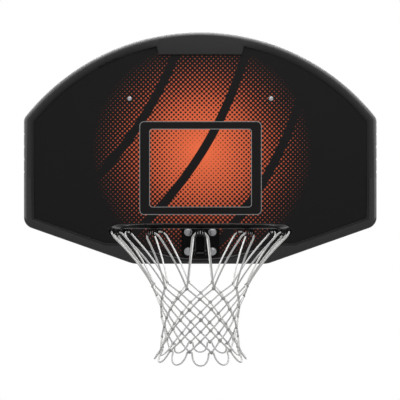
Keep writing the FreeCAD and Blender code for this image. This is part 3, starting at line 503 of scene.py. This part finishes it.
def stepped_edging():
    """The lower edging. Its step is round-edged and darkened with painted shade, and its scoop's lip has a painted
    highlight.
    """
    grid = merged("lower_frame")
    rounded = grid.edges.layers.float.new("bevel_weight_edge")
    paint_highlight(grid, grid.verts.layers.float.new("edge_highlight"), STEP_HIGHLIGHT)
    for edge in grid.edges:
        if len(edge.link_faces) != 2 or edge.calc_face_angle_signed() < STEP_ANGLE:
            continue
        for level, share in ((0.0, STEP_ROUND / LEDGE_ROUND), (LEDGE_DEPTH, 1.0)):
            if at_level(level, *edge.verts):
                edge[rounded] = share
    made = as_object("lower_edging", grid)
    ledge = made.modifiers.new("ledge", "BEVEL")
    ledge.width = LEDGE_ROUND
    ledge.segments = LEDGE_FACETS
    ledge.limit_method = "WEIGHT"
    apply_all(made)
    grid = bmesh.new()
    grid.from_mesh(made.data)
    shade_mark = grid.verts.layers.float.new("ledge")
    highlight_mark = grid.verts.layers.float["edge_highlight"]
    # Painted shade over the step's flats.
    sunk_flat = flats_at(grid, LEDGE_DEPTH)
    for vert in {vert for face in sunk_flat for vert in face.verts}:
        vert[shade_mark] = 1.0
    # A painted highlight along the scoop's rounded lip.
    scoop_round = [face for face in grid.faces if face.normal.z > SCOOP_UP
                   and SCOOP_FORWARD[0] < face.normal.y < SCOOP_FORWARD[1]
                   and set_back(face.calc_center_median()) > LEDGE_DEPTH]
    lip = {vert for face in scoop_round for vert in face.verts if abs(vert.co.x) < SCOOP_HALF}
    for vert in lip:
        vert[highlight_mark] = 1.0
    bmesh.ops.triangulate(grid, faces=sunk_flat)
    spokes = [(edge, vert) for edge in grid.edges for vert in edge.verts
              if vert in lip and edge.other_vert(vert) not in lip and at_level(LEDGE_DEPTH, *edge.verts)]
    # The new corners take full painted shade and no painted highlight, so the lip's highlight stays a thin line.
    for vert in line_across(grid, spokes, SCOOP_LINE, SCOOP_SHARE):
        vert[shade_mark], vert[highlight_mark] = 1.0, 0.0
    grid.to_mesh(made.data)
    grid.free()
    return keep_result(made)


def crowned_edging():
    """The upper edging, whose face falls away towards the board all along, but not at its tab."""
    grid = merged("upper_frame")
    shade_mark = grid.verts.layers.float.new("ledge")
    highlight_mark = grid.verts.layers.float.new("edge_highlight")
    lip = set_back(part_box("backboard_panel")[0])
    bmesh.ops.triangulate(grid, faces=flats_at(grid, 0.0))
    grid.normal_update()
    inner = [vert for vert in grid.verts if at_level(0.0, vert) and lean(vert) < 0 and not on_tab(vert)]
    found = set(inner)
    for vert in inner:
        for edge in vert.link_edges:
            other = edge.other_vert(vert)
            if other not in found and SAME_LEVEL < set_back(other.co) < lip - SAME_LEVEL and not on_tab(other):
                found.add(other)
                inner.append(other)
    # Painted highlight on the outer round.
    paint_highlight(grid, highlight_mark, FACE_HIGHLIGHT)
    spokes = [(edge, vert) for edge in grid.edges for vert in edge.verts
              if lean(vert) > 0 >= lean(edge.other_vert(vert)) and at_level(0.0, *edge.verts)]
    # The painted highlight fades to a faint trace a little way in from the outer round.
    for vert in line_across(grid, spokes, HIGHLIGHT_WIDTH):
        vert[highlight_mark] = HIGHLIGHT_END
    # Painted shade on the tab, in part.
    for vert in grid.verts:
        if on_tab(vert) and at_level(0.0, vert):
            vert[shade_mark] = TAB_SHADE
    # Painted shade on the inner side, eased off towards the tab. The face also falls back there.
    for vert in inner:
        past_tab = (abs(vert.co.x) - TAB_HALF) / TAB_BLEND if vert.co.z > TAB_FOOT else 1.0
        share = min(past_tab, 1.0)
        vert[shade_mark] = TAB_SHADE + (1.0 - TAB_SHADE) * share
        vert.co.y += CROWN_FALL * share * (1 - set_back(vert.co) / lip)
    return keep_result(as_object("upper_edging", grid))


lower_edging = stepped_edging()
coat(lower_edging, edging)
settle(lower_edging, "board", "frame_plastic", "lower_frame")
upper_edging = crowned_edging()
coat(upper_edging, edging)
settle(upper_edging, "board", "frame_plastic", "upper_frame")

# Edging screws. Pan-head self-tapping screws of zinc-plated steel with a cross recess go in from behind.
# One row runs round the edging, and others hold the plates over its two joints.
ZINC_PALE = (0.38, 0.38, 0.39, 1.0)
ZINC_DULL = (0.24, 0.24, 0.25, 1.0)
SCREW_SIDES = 28
SCREW_HEAD = 0.0022
SCREW_CROWN = ((0.0, 1.0), (0.35, 0.98), (0.66, 0.86), (0.88, 0.60), (0.98, 0.28), (1.0, 0.0))
RECESS_LENGTH = 0.0048
RECESS_WIDTH = 0.0011
CUTTER_HEIGHT = 0.0030
CUTTER_PROUD = 0.0014
SPIN_SEED = 11


def islands(name):
    """The lowest and highest corner of each separate solid in a CAD node."""
    grid = joined(name)
    corners, seen = [], set()
    for seed in grid.verts:
        if seed in seen:
            continue
        seen.add(seed)
        waiting, found = [seed], []
        while waiting:
            vertex = waiting.pop()
            found.append(vertex.co.copy())
            beside = [edge.other_vert(vertex) for edge in vertex.link_edges]
            fresh = [other for other in beside if other not in seen]
            seen.update(fresh)
            waiting += fresh
        corners.append([Vector([pick(point[k] for point in found) for k in range(3)]) for pick in (min, max)])
    grid.free()
    return corners


def lathe(name, profile, sides):
    """A solid turned about Y from points of radius and level. The first and the last lie on the axis."""
    grid = bmesh.new()
    rings = []
    for radius, level in profile:
        turns = [math.tau * k / sides for k in range(sides)] if radius else [0.0]
        rings.append([grid.verts.new((radius * math.cos(t), level, radius * math.sin(t))) for t in turns])
    for low, high in zip(rings, rings[1:]):
        for k in range(sides):
            ends = (low[k % len(low)], low[(k + 1) % len(low)], high[(k + 1) % len(high)], high[k % len(high)])
            grid.faces.new(list(dict.fromkeys(ends)))
    bmesh.ops.recalc_face_normals(grid, faces=grid.faces)
    return as_object(name, grid)


def block(name, size, centre):
    """A plain rectangular block."""
    grid = bmesh.new()
    bmesh.ops.create_cube(grid, size=1.0, matrix=Matrix.LocRotScale(centre, None, size))
    return as_object(name, grid)


def pan_screw(low, high):
    """One screw about its own middle: a round head over a shank, with a cross cut into the head."""
    head = (high.x - low.x) / 2
    seat = high.y - SCREW_HEAD
    crown = [(head * r, SCREW_HEAD * t) for r, t in SCREW_CROWN]
    shank = [(head / 2, 0.0), (head / 2, low.y - seat + head / 2), (0.0, low.y - seat)]
    screw = lathe("pan_screw", crown + shank, SCREW_SIDES)
    middle = (0, SCREW_HEAD - CUTTER_HEIGHT / 2 + CUTTER_PROUD, 0)
    arms = [block("recess", (across, CUTTER_HEIGHT, upright), middle)
            for across, upright in ((RECESS_LENGTH, RECESS_WIDTH), (RECESS_WIDTH, RECESS_LENGTH))]
    for arm in arms:
        cutter = screw.modifiers.new("recess", "BOOLEAN")
        cutter.operation = "DIFFERENCE"
        cutter.solver = "EXACT"
        cutter.object = arm
    keep_result(screw)
    for arm in arms:
        bpy.data.objects.remove(arm)
    return screw


def copies_tree():
    """Geometry Nodes: a copy of a form on each point, its Y axis along the point's facing, spun at random."""
    tree, given = new_group(
        "Geometry", "copies_on_points",
        {"Points": "Geometry", "Form": "Object", "Spin": "Float", "Smallest": "Float", "Largest": "Float",
         "Seed": "Int", "Finish": "Material"},
        {"Copies": "Geometry"})
    form = put(tree, "GeometryNodeObjectInfo", Object=given["Form"], As_Instance=True).outputs["Geometry"]
    facing = put(tree, "GeometryNodeInputNamedAttribute", {"data_type": "FLOAT_VECTOR"}, Name="facing")
    aimed = put(tree, "FunctionNodeAlignRotationToVector", {"axis": "Y"}, Vector=facing.outputs[0]).outputs[0]
    spin = put(tree, "FunctionNodeRandomValue", {"data_type": "FLOAT"}, _2=0.0, _3=given["Spin"],
               Seed=given["Seed"])
    about_y = put(tree, "ShaderNodeCombineXYZ", Y=spin.outputs[1]).outputs[0]
    turn = put(tree, "FunctionNodeEulerToRotation", Euler=about_y).outputs[0]
    turned = put(tree, "FunctionNodeRotateRotation", {"rotation_space": "LOCAL"}, Rotation=aimed,
                 Rotate_By=turn).outputs[0]
    size = put(tree, "FunctionNodeRandomValue", {"data_type": "FLOAT"}, _2=given["Smallest"],
               _3=given["Largest"], Seed=given["Seed"])
    placed = put(tree, "GeometryNodeInstanceOnPoints", Points=given["Points"], Instance=form, Rotation=turned,
                 Scale=size.outputs[1])
    whole = put(tree, "GeometryNodeRealizeInstances", Geometry=placed.outputs[0])
    done = put(tree, "GeometryNodeSetMaterial", Geometry=whole.outputs[0], Material=given["Finish"])
    put(tree, "NodeGroupOutput", Copies=done.outputs[0])
    return tree


def grow(made, tree, **inputs):
    """Runs a Geometry Nodes tree on an object and keeps the result as its plain mesh."""
    run = made.modifiers.new(tree.name, "NODES")
    run.node_group = tree
    sockets = {item.name: item.identifier for item in tree.interface.items_tree if item.in_out == "INPUT"}
    for name, value in inputs.items():
        run[sockets[name]] = value
    return apply_all(made)


def copied(name, form, places, finish, **inputs):
    """Copies of a form on places, each a point and the way it faces. The form itself is then removed."""
    mesh = bpy.data.meshes.new(name)
    mesh.from_pydata([tuple(point) for point, facing in places], [], [])
    aim = mesh.attributes.new("facing", "FLOAT_VECTOR", "POINT")
    for k, (point, facing) in enumerate(places):
        aim.data[k].vector = facing
    settings = {"Spin": 0.0, "Smallest": 1.0, "Largest": 1.0, "Seed": 0} | inputs
    made = grow(new_object(name, mesh), COPIES, Form=form, Finish=finish, **settings)
    bpy.data.objects.remove(form)
    return made


COPIES = copies_tree()
zinc, tree, shader, place = material("zinc_plate")
cloud = grained(tree, shader, place, grains=2600.0, clouds=160.0, depth=0.00004, smooth=0.30, rough=0.50)
set_in(tree, shader, Base_Color=tint(tree, cloud, ZINC_DULL, ZINC_PALE), Metallic=1.0)
for node in ("frame_screws", "joiner_screws"):
    solids = islands(node)
    heads = [(Vector(((low.x + high.x) / 2, high.y - SCREW_HEAD, (low.z + high.z) / 2)), (0, 1, 0))
             for low, high in solids]
    screws = copied(f"{node}_dressed", pan_screw(*solids[0]), heads, zinc, Spin=math.tau, Seed=SPIN_SEED)
    settle(screws, "board", "zinc", node)

# Joint plates. Short zinc-plated steel strips, with broken edges, cover the edging's two joints behind.
# Two screws hold each strip, one in each moulding.
STRIP_EDGE = 0.0005
SHARP_ANGLE = math.radians(40)
BROKEN_FACETS = 2


def softened(name, finish, body, slot, width):
    """A copy of a CAD node with its sharp edges broken, in place of the node."""
    made = as_object(f"{name}_dressed", merged(name))
    broken = made.modifiers.new("broken_edges", "BEVEL")
    broken.width = width
    broken.segments = BROKEN_FACETS
    broken.limit_method = "ANGLE"
    broken.angle_limit = SHARP_ANGLE
    keep_result(made)
    coat(made, finish)
    settle(made, body, slot, name)


softened("frame_joiners", zinc, "board", "zinc", STRIP_EDGE)

# Rear frame. Flat bar, flat plate and two folded channels are welded together and painted satin black.
# The channels stand on the bar and the plate, with a run of weld along each side of a joint.
REAR_BLACK = (0.014, 0.014, 0.0145, 1.0)
REAR_RUBBED = (0.040, 0.040, 0.041, 1.0)
REAR_EDGE = 0.0007
BEAD_RADIUS = 0.0026
BEAD_STEP = 0.0019
BEAD_SHAPE = ((0.0, 0.7), (0.45, 0.62), (0.8, 0.38), (1.0, 0.0), (0.8, -0.38), (0.0, -0.7))
BEAD_SIDES = 10
BEAD_SMALLEST = 0.86
BEAD_LARGEST = 1.08
BEAD_SEED = 7


def weld(name, lines, finish, body, slot):
    """Runs of weld: overlapping beads along lines, each with two ends and the way that it faces."""
    bead = lathe("bead", [(BEAD_RADIUS * r, BEAD_RADIUS * t) for r, t in BEAD_SHAPE], BEAD_SIDES)
    bead.data.shade_smooth()
    places = []
    for start, end, facing in lines:
        count = round((end - start).length / BEAD_STEP)
        places += [(start.lerp(end, k / count), facing) for k in range(count + 1)]
    made = copied(name, bead, places, finish, Spin=math.tau, Smallest=BEAD_SMALLEST, Largest=BEAD_LARGEST,
                  Seed=BEAD_SEED)
    settle(made, body, slot)


rear_paint, tree, shader, place = material("rear_paint")
grained(tree, shader, place, grains=900.0, clouds=20.0, depth=0.00012, smooth=0.36, rough=0.55)
rub = rubbed(tree, place, streaks=420.0, patches=9.0)
set_in(tree, shader, Base_Color=tint(tree, rub, REAR_BLACK, REAR_RUBBED), Specular_IOR_Level=0.35)
for node in ("mount_crossbar", "rim_backing_plate", "mount_rail_right", "mount_rail_left"):
    softened(node, rear_paint, "board", "rear_steel", REAR_EDGE)
seams = []
for plate in ("mount_crossbar", "rim_backing_plate"):
    low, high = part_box(plate)
    for rail in ("mount_rail_right", "mount_rail_left"):
        left, right = (corner.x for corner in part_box(rail))
        for x, way in ((left, -1), (right, 1)):
            foot, head = (Vector((x, high.y, z)) for z in (low.z + BEAD_RADIUS, high.z - BEAD_RADIUS))
            seams.append((foot, head, Vector((way, 1, 0)).normalized()))
weld("rear_welds", seams, rear_paint, "board", "rear_steel")

# Upper bolts. Two zinc-plated bolts with low domed heads hold the board to the rear bar.
# Each has a washer and a hexagon nut behind, and its thread stands out past the nut.
NUT_EDGE = 0.0006
BOLT_RADIUS = 0.004
THREAD_PITCH = 0.00125
THREAD_WIRE = 0.00042
THREAD_SIDES = 6
THREAD_STEPS = 24
TUBE_END = 0.0001


def wire_mesh(name, routes):
    """Bare lines through the points of some routes, with a point just past each end, where a tube closes."""
    points, edges = [], []
    for route in routes:
        before = route[0] + TUBE_END * (route[0] - route[1]).normalized()
        after = route[-1] + TUBE_END * (route[-1] - route[-2]).normalized()
        route = [before, *route, after]
        edges += [(len(points) + k, len(points) + k + 1) for k in range(len(route) - 1)]
        points += [tuple(point) for point in route]
    mesh = bpy.data.meshes.new(name)
    mesh.from_pydata(points, edges, [])
    return new_object(name, mesh)


def tube_tree():
    """Geometry Nodes: a round tube along each line, closed at both ends, with a map of turn and length."""
    tree, given = new_group(
        "Geometry", "tube_along_lines",
        {"Lines": "Geometry", "Radius": "Float", "Sides": "Int", "Finish": "Material"},
        {"Tube": "Geometry"})
    lines = put(tree, "GeometryNodeMeshToCurve", Mesh=given["Lines"]).outputs[0]
    run = put(tree, "GeometryNodeCaptureAttribute", Geometry=lines)
    run.capture_items.new("FLOAT", "Length")
    tree.links.new(put(tree, "GeometryNodeSplineParameter").outputs["Length"], run.inputs["Length"])
    points = calc(tree, "ADD", given["Sides"], 1.0)
    arc = put(tree, "GeometryNodeCurveArc", Resolution=points, Radius=given["Radius"], Sweep_Angle=math.tau)
    about = put(tree, "GeometryNodeCaptureAttribute", Geometry=arc.outputs[0])
    about.capture_items.new("FLOAT", "Turn")
    tree.links.new(put(tree, "GeometryNodeSplineParameter").outputs["Factor"], about.inputs["Turn"])
    tip = put(tree, "GeometryNodeCurveEndpointSelection", Start_Size=1, End_Size=1).outputs[0]
    skin = put(tree, "GeometryNodeCurveToMesh", Curve=run.outputs[0], Profile_Curve=about.outputs[0],
               Scale=calc(tree, "SUBTRACT", 1.0, tip))
    cover = put(tree, "ShaderNodeCombineXYZ", X=about.outputs["Turn"], Y=run.outputs["Length"]).outputs[0]
    mapped = put(tree, "GeometryNodeStoreNamedAttribute", {"data_type": "FLOAT2", "domain": "CORNER"},
                 Geometry=skin.outputs[0], Name="cover", Value=cover)
    closed = put(tree, "GeometryNodeMergeByDistance", Geometry=mapped.outputs[0], Distance=SAME_PLACE)
    smooth = put(tree, "GeometryNodeSetShadeSmooth", Geometry=closed.outputs[0])
    whole = put(tree, "GeometryNodeRealizeInstances", Geometry=smooth.outputs[0])
    done = put(tree, "GeometryNodeSetMaterial", Geometry=whole.outputs[0], Material=given["Finish"])
    put(tree, "NodeGroupOutput", Tube=done.outputs[0])
    return tree


def threads(name, bolts, nuts):
    """Thread ridges on the bolts' tails, from each nut to the tail's end."""
    routes = []
    start = max(high.y for low, high in islands(nuts))
    radius = BOLT_RADIUS - THREAD_WIRE / 2
    for low, high in islands(bolts):
        middle = Vector(((low.x + high.x) / 2, 0, (low.z + high.z) / 2))
        turns = (high.y - start - 2 * THREAD_WIRE) / THREAD_PITCH
        count = round(turns * THREAD_STEPS)
        routes.append([])
        for k in range(count + 1):
            angle = math.tau * turns * k / count
            level = start + THREAD_WIRE + THREAD_PITCH * turns * k / count
            routes[-1].append(middle + Vector((radius * math.cos(angle), level, radius * math.sin(angle))))
    ridges = grow(wire_mesh(name, routes), TUBE, Radius=THREAD_WIRE, Sides=THREAD_SIDES, Finish=zinc)
    settle(ridges, "board", "zinc")


TUBE = tube_tree()
dress(zinc, "top_bolts", "top_washers")
softened("top_nuts", zinc, "board", "zinc", NUT_EDGE)
threads("top_bolt_threads", "top_bolts", "top_nuts")

# Rim's plate. A thick steel plate with two ears for the hinge pin, welded on and powder-coated gloss black.
# A rubber pad on it takes the arm when the rim springs back.
RIM_BLACK = (0.0022, 0.0022, 0.0023, 1.0)
RIM_RUBBED = (0.010, 0.010, 0.0104, 1.0)
RIM_EDGE = 0.0008
RUBBER_BLACK = (0.010, 0.010, 0.010, 1.0)
RUBBER_WORN = (0.022, 0.022, 0.022, 1.0)
rim_paint, tree, shader, place = material("rim_powder_coat")
grained(tree, shader, place, grains=420.0, clouds=30.0, depth=0.00006, smooth=0.16, rough=0.28)
rub = rubbed(tree, place, streaks=520.0, patches=12.0)
set_in(tree, shader, Base_Color=tint(tree, rub, RIM_BLACK, RIM_RUBBED), Specular_IOR_Level=0.045)
for node in ("rim_mount_plate", "hinge_lug_right", "hinge_lug_left"):
    softened(node, rim_paint, "board", "rim_black", RIM_EDGE)
rubber, tree, shader, place = material("stop_rubber")
grained(tree, shader, place, grains=1500.0, clouds=60.0, depth=0.0001, smooth=0.62, rough=0.80)
rub = rubbed(tree, place, streaks=600.0, patches=40.0)
set_in(tree, shader, Base_Color=tint(tree, rub, RUBBER_BLACK, RUBBER_WORN), Specular_IOR_Level=0.3)
softened("stop_pad", rubber, "board", "pad_rubber", RIM_EDGE)

# Rim bolts. Four zinc-plated bolts with round heads on wide washers clamp the rim's plate,
# the board and the backing plate together. Nuts on washers hold them behind.
dress(zinc, "rim_bolts", "rim_front_washers", "rim_rear_washers")
softened("rim_nuts", zinc, "board", "zinc", NUT_EDGE)
threads("rim_bolt_threads", "rim_bolts", "rim_nuts")

# Ring and arm. A round rod bent to a ring is welded to a flared plate on a channel of two side plates
# and a web. All is powder-coated gloss black, with the wire hooks for the net.
for node in ("arm_plate_right", "arm_plate_left", "arm_web", "bridge_plate"):
    softened(node, rim_paint, "rim", "rim_black", RIM_EDGE)
dress(rim_paint, "hoop_ring", "net_hooks")

# Hinge. A blackened steel pin with a head and a spring clip passes through the ears and the arm.
# White nylon washers keep the arm off the ears.
OXIDE_BLACK = (0.018, 0.018, 0.020, 1.0)
OXIDE_WORN = (0.060, 0.060, 0.062, 1.0)
NYLON_CREAM = (0.62, 0.61, 0.57, 1.0)
NYLON_PALE = (0.72, 0.71, 0.67, 1.0)
oxide, tree, shader, place = material("black_oxide_steel")
cloud = grained(tree, shader, place, grains=2200.0, clouds=140.0, depth=0.00004, smooth=0.34, rough=0.52)
set_in(tree, shader, Base_Color=tint(tree, cloud, OXIDE_BLACK, OXIDE_WORN), Metallic=0.8)
dress(oxide, "pivot_pin", "pivot_clip")
nylon, tree, shader, place = material("thrust_nylon")
cloud = grained(tree, shader, place, grains=1800.0, clouds=60.0, depth=0.00005, smooth=0.35, rough=0.45)
set_in(tree, shader, Base_Color=tint(tree, cloud, NYLON_CREAM, NYLON_PALE))
dress(nylon, "pivot_washers")

# Spring. A coil of hard-drawn wire on a stud pulls the arm back to the plate, between two black washers.
# A lock nut on the stud's end sets its tension. It shortens as the rim tips.
WIRE_DARK = (0.20, 0.20, 0.21, 1.0)
WIRE_BRIGHT = (0.40, 0.40, 0.41, 1.0)
SPRING_WIRE = 0.0015
SPRING_TURNS = 5.0
SPRING_SIDES = 12
SPRING_STEPS = 32
CLOSE_TURNS = 0.75
CLOSE_PITCH = 0.0038
EASE_TURNS = (-0.12, -0.06, 0.0, 0.06, 0.12)


def spring_route(low, high):
    """The wire's middle line, with closer turns at both ends."""
    middle = (low + high) / 2
    mean = (high.x - low.x) / 2 - SPRING_WIRE
    rise = high.y - low.y - 2 * SPRING_WIRE
    open_pitch = (rise - 2 * CLOSE_TURNS * CLOSE_PITCH) / (SPRING_TURNS - 2 * CLOSE_TURNS)

    def climb(turn):
        closed = min(turn, CLOSE_TURNS) + max(turn - SPRING_TURNS + CLOSE_TURNS, 0.0)
        opened = min(max(turn - CLOSE_TURNS, 0.0), SPRING_TURNS - 2 * CLOSE_TURNS)
        return closed * CLOSE_PITCH + opened * open_pitch

    points = []
    for k in range(round(SPRING_TURNS * SPRING_STEPS) + 1):
        turn = k / SPRING_STEPS
        level = sum(climb(turn + shift) for shift in EASE_TURNS) / len(EASE_TURNS)
        angle = math.tau * turn
        points.append(Vector((mean * math.cos(angle), high.y - SPRING_WIRE - level,
                              middle.z + mean * math.sin(angle))))
    return points


steel, tree, shader, place = material("spring_wire")
cloud = grained(tree, shader, place, grains=2400.0, clouds=120.0, depth=0.00004, smooth=0.24, rough=0.40)
set_in(tree, shader, Base_Color=tint(tree, cloud, WIRE_DARK, WIRE_BRIGHT), Metallic=1.0)
coil = wire_mesh("spring_coil", [spring_route(*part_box("flex_spring"))])
grow(coil, TUBE, Radius=SPRING_WIRE, Sides=SPRING_SIDES, Finish=steel)
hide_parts("flex_spring")
spring_low, spring_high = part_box("flex_spring")
spring_middle = (spring_low + spring_high) / 2
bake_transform(coil, "board", "rim", start=(0, spring_low.y, spring_middle.z), end=(0, spring_high.y, spring_middle.z))
dress(oxide, "spring_end_washer", "spring_seat_washer", "spring_nut")
dress(zinc, "spring_stud")

# Net. White braided cord hangs in a bight on each hook. Its legs run down to the first row of knots,
# then cross in diamonds that draw in to a waist and end in round loops. Each crossing is knotted, and the
# knots are painted darker as shade.
CORD_WHITE = (0.64, 0.64, 0.63, 1.0)
CORD_SHADE = (0.38, 0.38, 0.375, 1.0)
# The knots' cord is painted darker than the net's cord, as shade in the crowded knots.
KNOT_SHADED_WHITE = (0.42, 0.42, 0.41, 1.0)
KNOT_SHADE = (0.22, 0.22, 0.22, 1.0)
BRAID_PITCH = 0.006
BRAID_STRANDS = 4
BRAID_DEPTH = 0.00025
BRAID_STRENGTH = 0.6
BRAID_LEVELS = (-0.4, 0.8)
FIBRES_PER_METRE = 2500.0
CORD_ROUGH = (0.75, 0.95)
CORD_RADIUS = 0.0024
CORD_SIDES = 10
HOOK_COUNT = 12
HALF_STEP = math.pi / HOOK_COUNT
BIGHT_RADIUS = 0.24235
BIGHT_DROP = 0.01855
BIGHT_HALF = 0.0185
BIGHT_TURN = 0.018
BIGHT_STEPS = 18
LEG_DRAW = 0.011
LEG_STEPS = 16
FIRST_DROP = 0.162
ROW_PITCH = 0.028
ROWS = 7
WAIST_RADIUS = 0.102
WAIST_ROW = 4
WAIST_FLARE = 0.001875
DIAMOND_BOW = 0.0012
DIAMOND_STEPS = 6
LOOP_DROP = 0.362
LOOP_RADIUS = 0.125
LOOP_INSET = 0.0075
LOOP_SHOULDER = 0.005
LOOP_STEPS = 20
SHOULDER_PULL = 0.7
SHOULDER_STEPS = 5
ROUND_PULL = 4 / 3
KNOT_RADIUS = 0.0026
KNOT_WAVE = 0.0012
KNOT_WAVES = 3
KNOT_TURNS = 2
KNOT_STRETCH = 1.3
KNOT_STEPS = 30
KNOT_CORD = 0.0019
KNOT_SIDES = 6
KNOT_SMALLEST = 0.92
KNOT_LARGEST = 1.08
KNOT_SEED = 5
KNOT_STRAY = 0.0014
ring_low, ring_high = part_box("hoop_ring")
RING_CENTRE = (ring_low + ring_high) / 2


def about_ring(radius, angle, drop):
    """A point about the ring's axis. Angle 0 is the front."""
    return RING_CENTRE + Vector((radius * math.sin(angle), -radius * math.cos(angle), -drop))


def knot_place(row, k):
    """Where a knot is tied. Hand tying leaves each one a little off its place."""
    hand = random.Random(KNOT_SEED + row * HOOK_COUNT + k % HOOK_COUNT)
    off = Vector([hand.uniform(-KNOT_STRAY, KNOT_STRAY) for axis in range(3)])
    radius = WAIST_RADIUS + WAIST_FLARE * (row - WAIST_ROW) ** 2
    return about_ring(radius, HALF_STEP * (2 * k + 1 + row % 2), FIRST_DROP + row * ROW_PITCH) + off


def swung(start, start_pull, end_pull, end, steps):
    """Points on a curve that leaves and arrives along two pulls."""
    first, second = start + start_pull, end + end_pull
    shares = [k / steps for k in range(steps + 1)]
    return [start * (1 - t) ** 3 + first * (3 * t * (1 - t) ** 2)
            + second * (3 * t * t * (1 - t)) + end * t ** 3 for t in shares]


def net_routes():
    """The cord's runs, each a list of points."""
    routes = []
    for k in range(HOOK_COUNT):
        angle = 2 * HALF_STEP * k
        middle = about_ring(BIGHT_RADIUS, angle, BIGHT_DROP)
        side = Vector((math.cos(angle), math.sin(angle), 0))
        draw = about_ring(-LEG_DRAW, angle, 0.0) - RING_CENTRE
        legs, rises = [], []
        for way, knot in ((-1, knot_place(0, k - 1)), (1, knot_place(0, k))):
            shoulder = middle + side * (way * BIGHT_HALF)
            turn = (knot - shoulder).normalized() * BIGHT_TURN
            third = (knot - shoulder - turn) / 3
            legs.append(swung(shoulder + turn, third + draw, draw - third, knot, LEG_STEPS))
            rises.append(Vector((0, 0, CORD_RADIUS)) - turn * ROUND_PULL)
        over = swung(legs[0][0], *rises, legs[1][0], BIGHT_STEPS)
        routes.append(legs[0][:0:-1] + over + legs[1][1:])
        for row in range(ROWS - 1):
            start = knot_place(row, k)
            for end in (knot_place(row + 1, k), knot_place(row + 1, k - 1 if row % 2 == 0 else k + 1)):
                out = (start + end) / 2 - RING_CENTRE
                out.z = 0
                bow = out.normalized() * DIAMOND_BOW
                third = (end - start) / 3
                routes.append(swung(start, third + bow, bow - third, end, DIAMOND_STEPS))
        start, end = knot_place(ROWS - 1, k), knot_place(ROWS - 1, k + 1)
        foot = about_ring(LOOP_RADIUS, HALF_STEP * (2 * k + 2 + (ROWS - 1) % 2), LOOP_DROP)
        inset = (end - start).normalized() * LOOP_INSET
        fall = Vector((0, 0, -LOOP_SHOULDER))
        left, right = start + inset + fall, end - inset + fall
        sink = (foot - (left + right) / 2) * ROUND_PULL
        aside, rise = inset * SHOULDER_PULL, -fall * SHOULDER_PULL
        routes.append(swung(start, aside, rise, left, SHOULDER_STEPS)[:-1]
                      + swung(left, sink, sink, right, LOOP_STEPS)
                      + swung(right, rise, -aside, end, SHOULDER_STEPS)[1:])
    return routes


def cord_material(name, pale, shade):
    """Cord cover: two sets of strands wound against each other, on the tube's own map, with painted shade in the
    grooves between them.
    """
    made, tree, shader, place = material(name)
    cover = put(tree, "ShaderNodeUVMap", {"uv_map": "cover"}).outputs[0]
    turn, run, _ = put(tree, "ShaderNodeSeparateXYZ", Vector=cover).outputs
    lay = calc(tree, "MULTIPLY", run, math.tau / BRAID_PITCH)
    spin = calc(tree, "MULTIPLY", turn, math.tau * BRAID_STRANDS)
    right = calc(tree, "SINE", calc(tree, "ADD", lay, spin))
    left = calc(tree, "SINE", calc(tree, "SUBTRACT", lay, spin))
    strands = calc(tree, "MAXIMUM", right, left)
    fibre = put(tree, "ShaderNodeTexNoise", Vector=place, Scale=FIBRES_PER_METRE, Detail=2.0).outputs["Fac"]
    height = calc(tree, "ADD", strands, fibre)
    bump = put(tree, "ShaderNodeBump", Height=height, Strength=BRAID_STRENGTH, Distance=BRAID_DEPTH)
    # Painted shade in the grooves between strands, paler on their crests.
    crest = stretch_range(tree, strands, *BRAID_LEVELS)
    set_in(tree, shader, Base_Color=tint(tree, crest, shade, pale), Normal=bump.outputs[0],
           Roughness=between(tree, fibre, *CORD_ROUGH), Specular_IOR_Level=0.2)
    return made


def knot_route():
    """The middle line of a tied knot: a cord that winds about itself and comes back to its start."""
    points = []
    for k in range(KNOT_STEPS + 1):
        angle = math.tau * (k % KNOT_STEPS) / KNOT_STEPS
        out = KNOT_RADIUS + KNOT_WAVE * math.cos(KNOT_WAVES * angle)
        points.append(Vector((out * math.cos(KNOT_TURNS * angle),
                              KNOT_WAVE * math.sin(KNOT_WAVES * angle) * KNOT_STRETCH,
                              out * math.sin(KNOT_TURNS * angle))))
    return points


cord = cord_material("braided_cord", CORD_WHITE, CORD_SHADE)
net_cords = wire_mesh("net_cords", net_routes())
grow(net_cords, TUBE, Radius=CORD_RADIUS, Sides=CORD_SIDES, Finish=cord)
settle(net_cords, "rim", "net_cord", "net")
# A darker copy of the cord for the knots: painted shade.
shaded_knot_cord = cord_material("shaded_knot_cord", KNOT_SHADED_WHITE, KNOT_SHADE)
knot_form = wire_mesh("knot", [knot_route()])
grow(knot_form, TUBE, Radius=KNOT_CORD, Sides=KNOT_SIDES, Finish=shaded_knot_cord)
knots = []
for row in range(ROWS):
    for k in range(HOOK_COUNT):
        point = knot_place(row, k)
        knots.append((point, Vector((point.x - RING_CENTRE.x, point.y - RING_CENTRE.y, 0)).normalized()))
net_knots = copied("net_knots", knot_form, knots, shaded_knot_cord, Spin=math.tau, Smallest=KNOT_SMALLEST,
                   Largest=KNOT_LARGEST, Seed=KNOT_SEED)
settle(net_knots, "rim", "net_cord", "net")
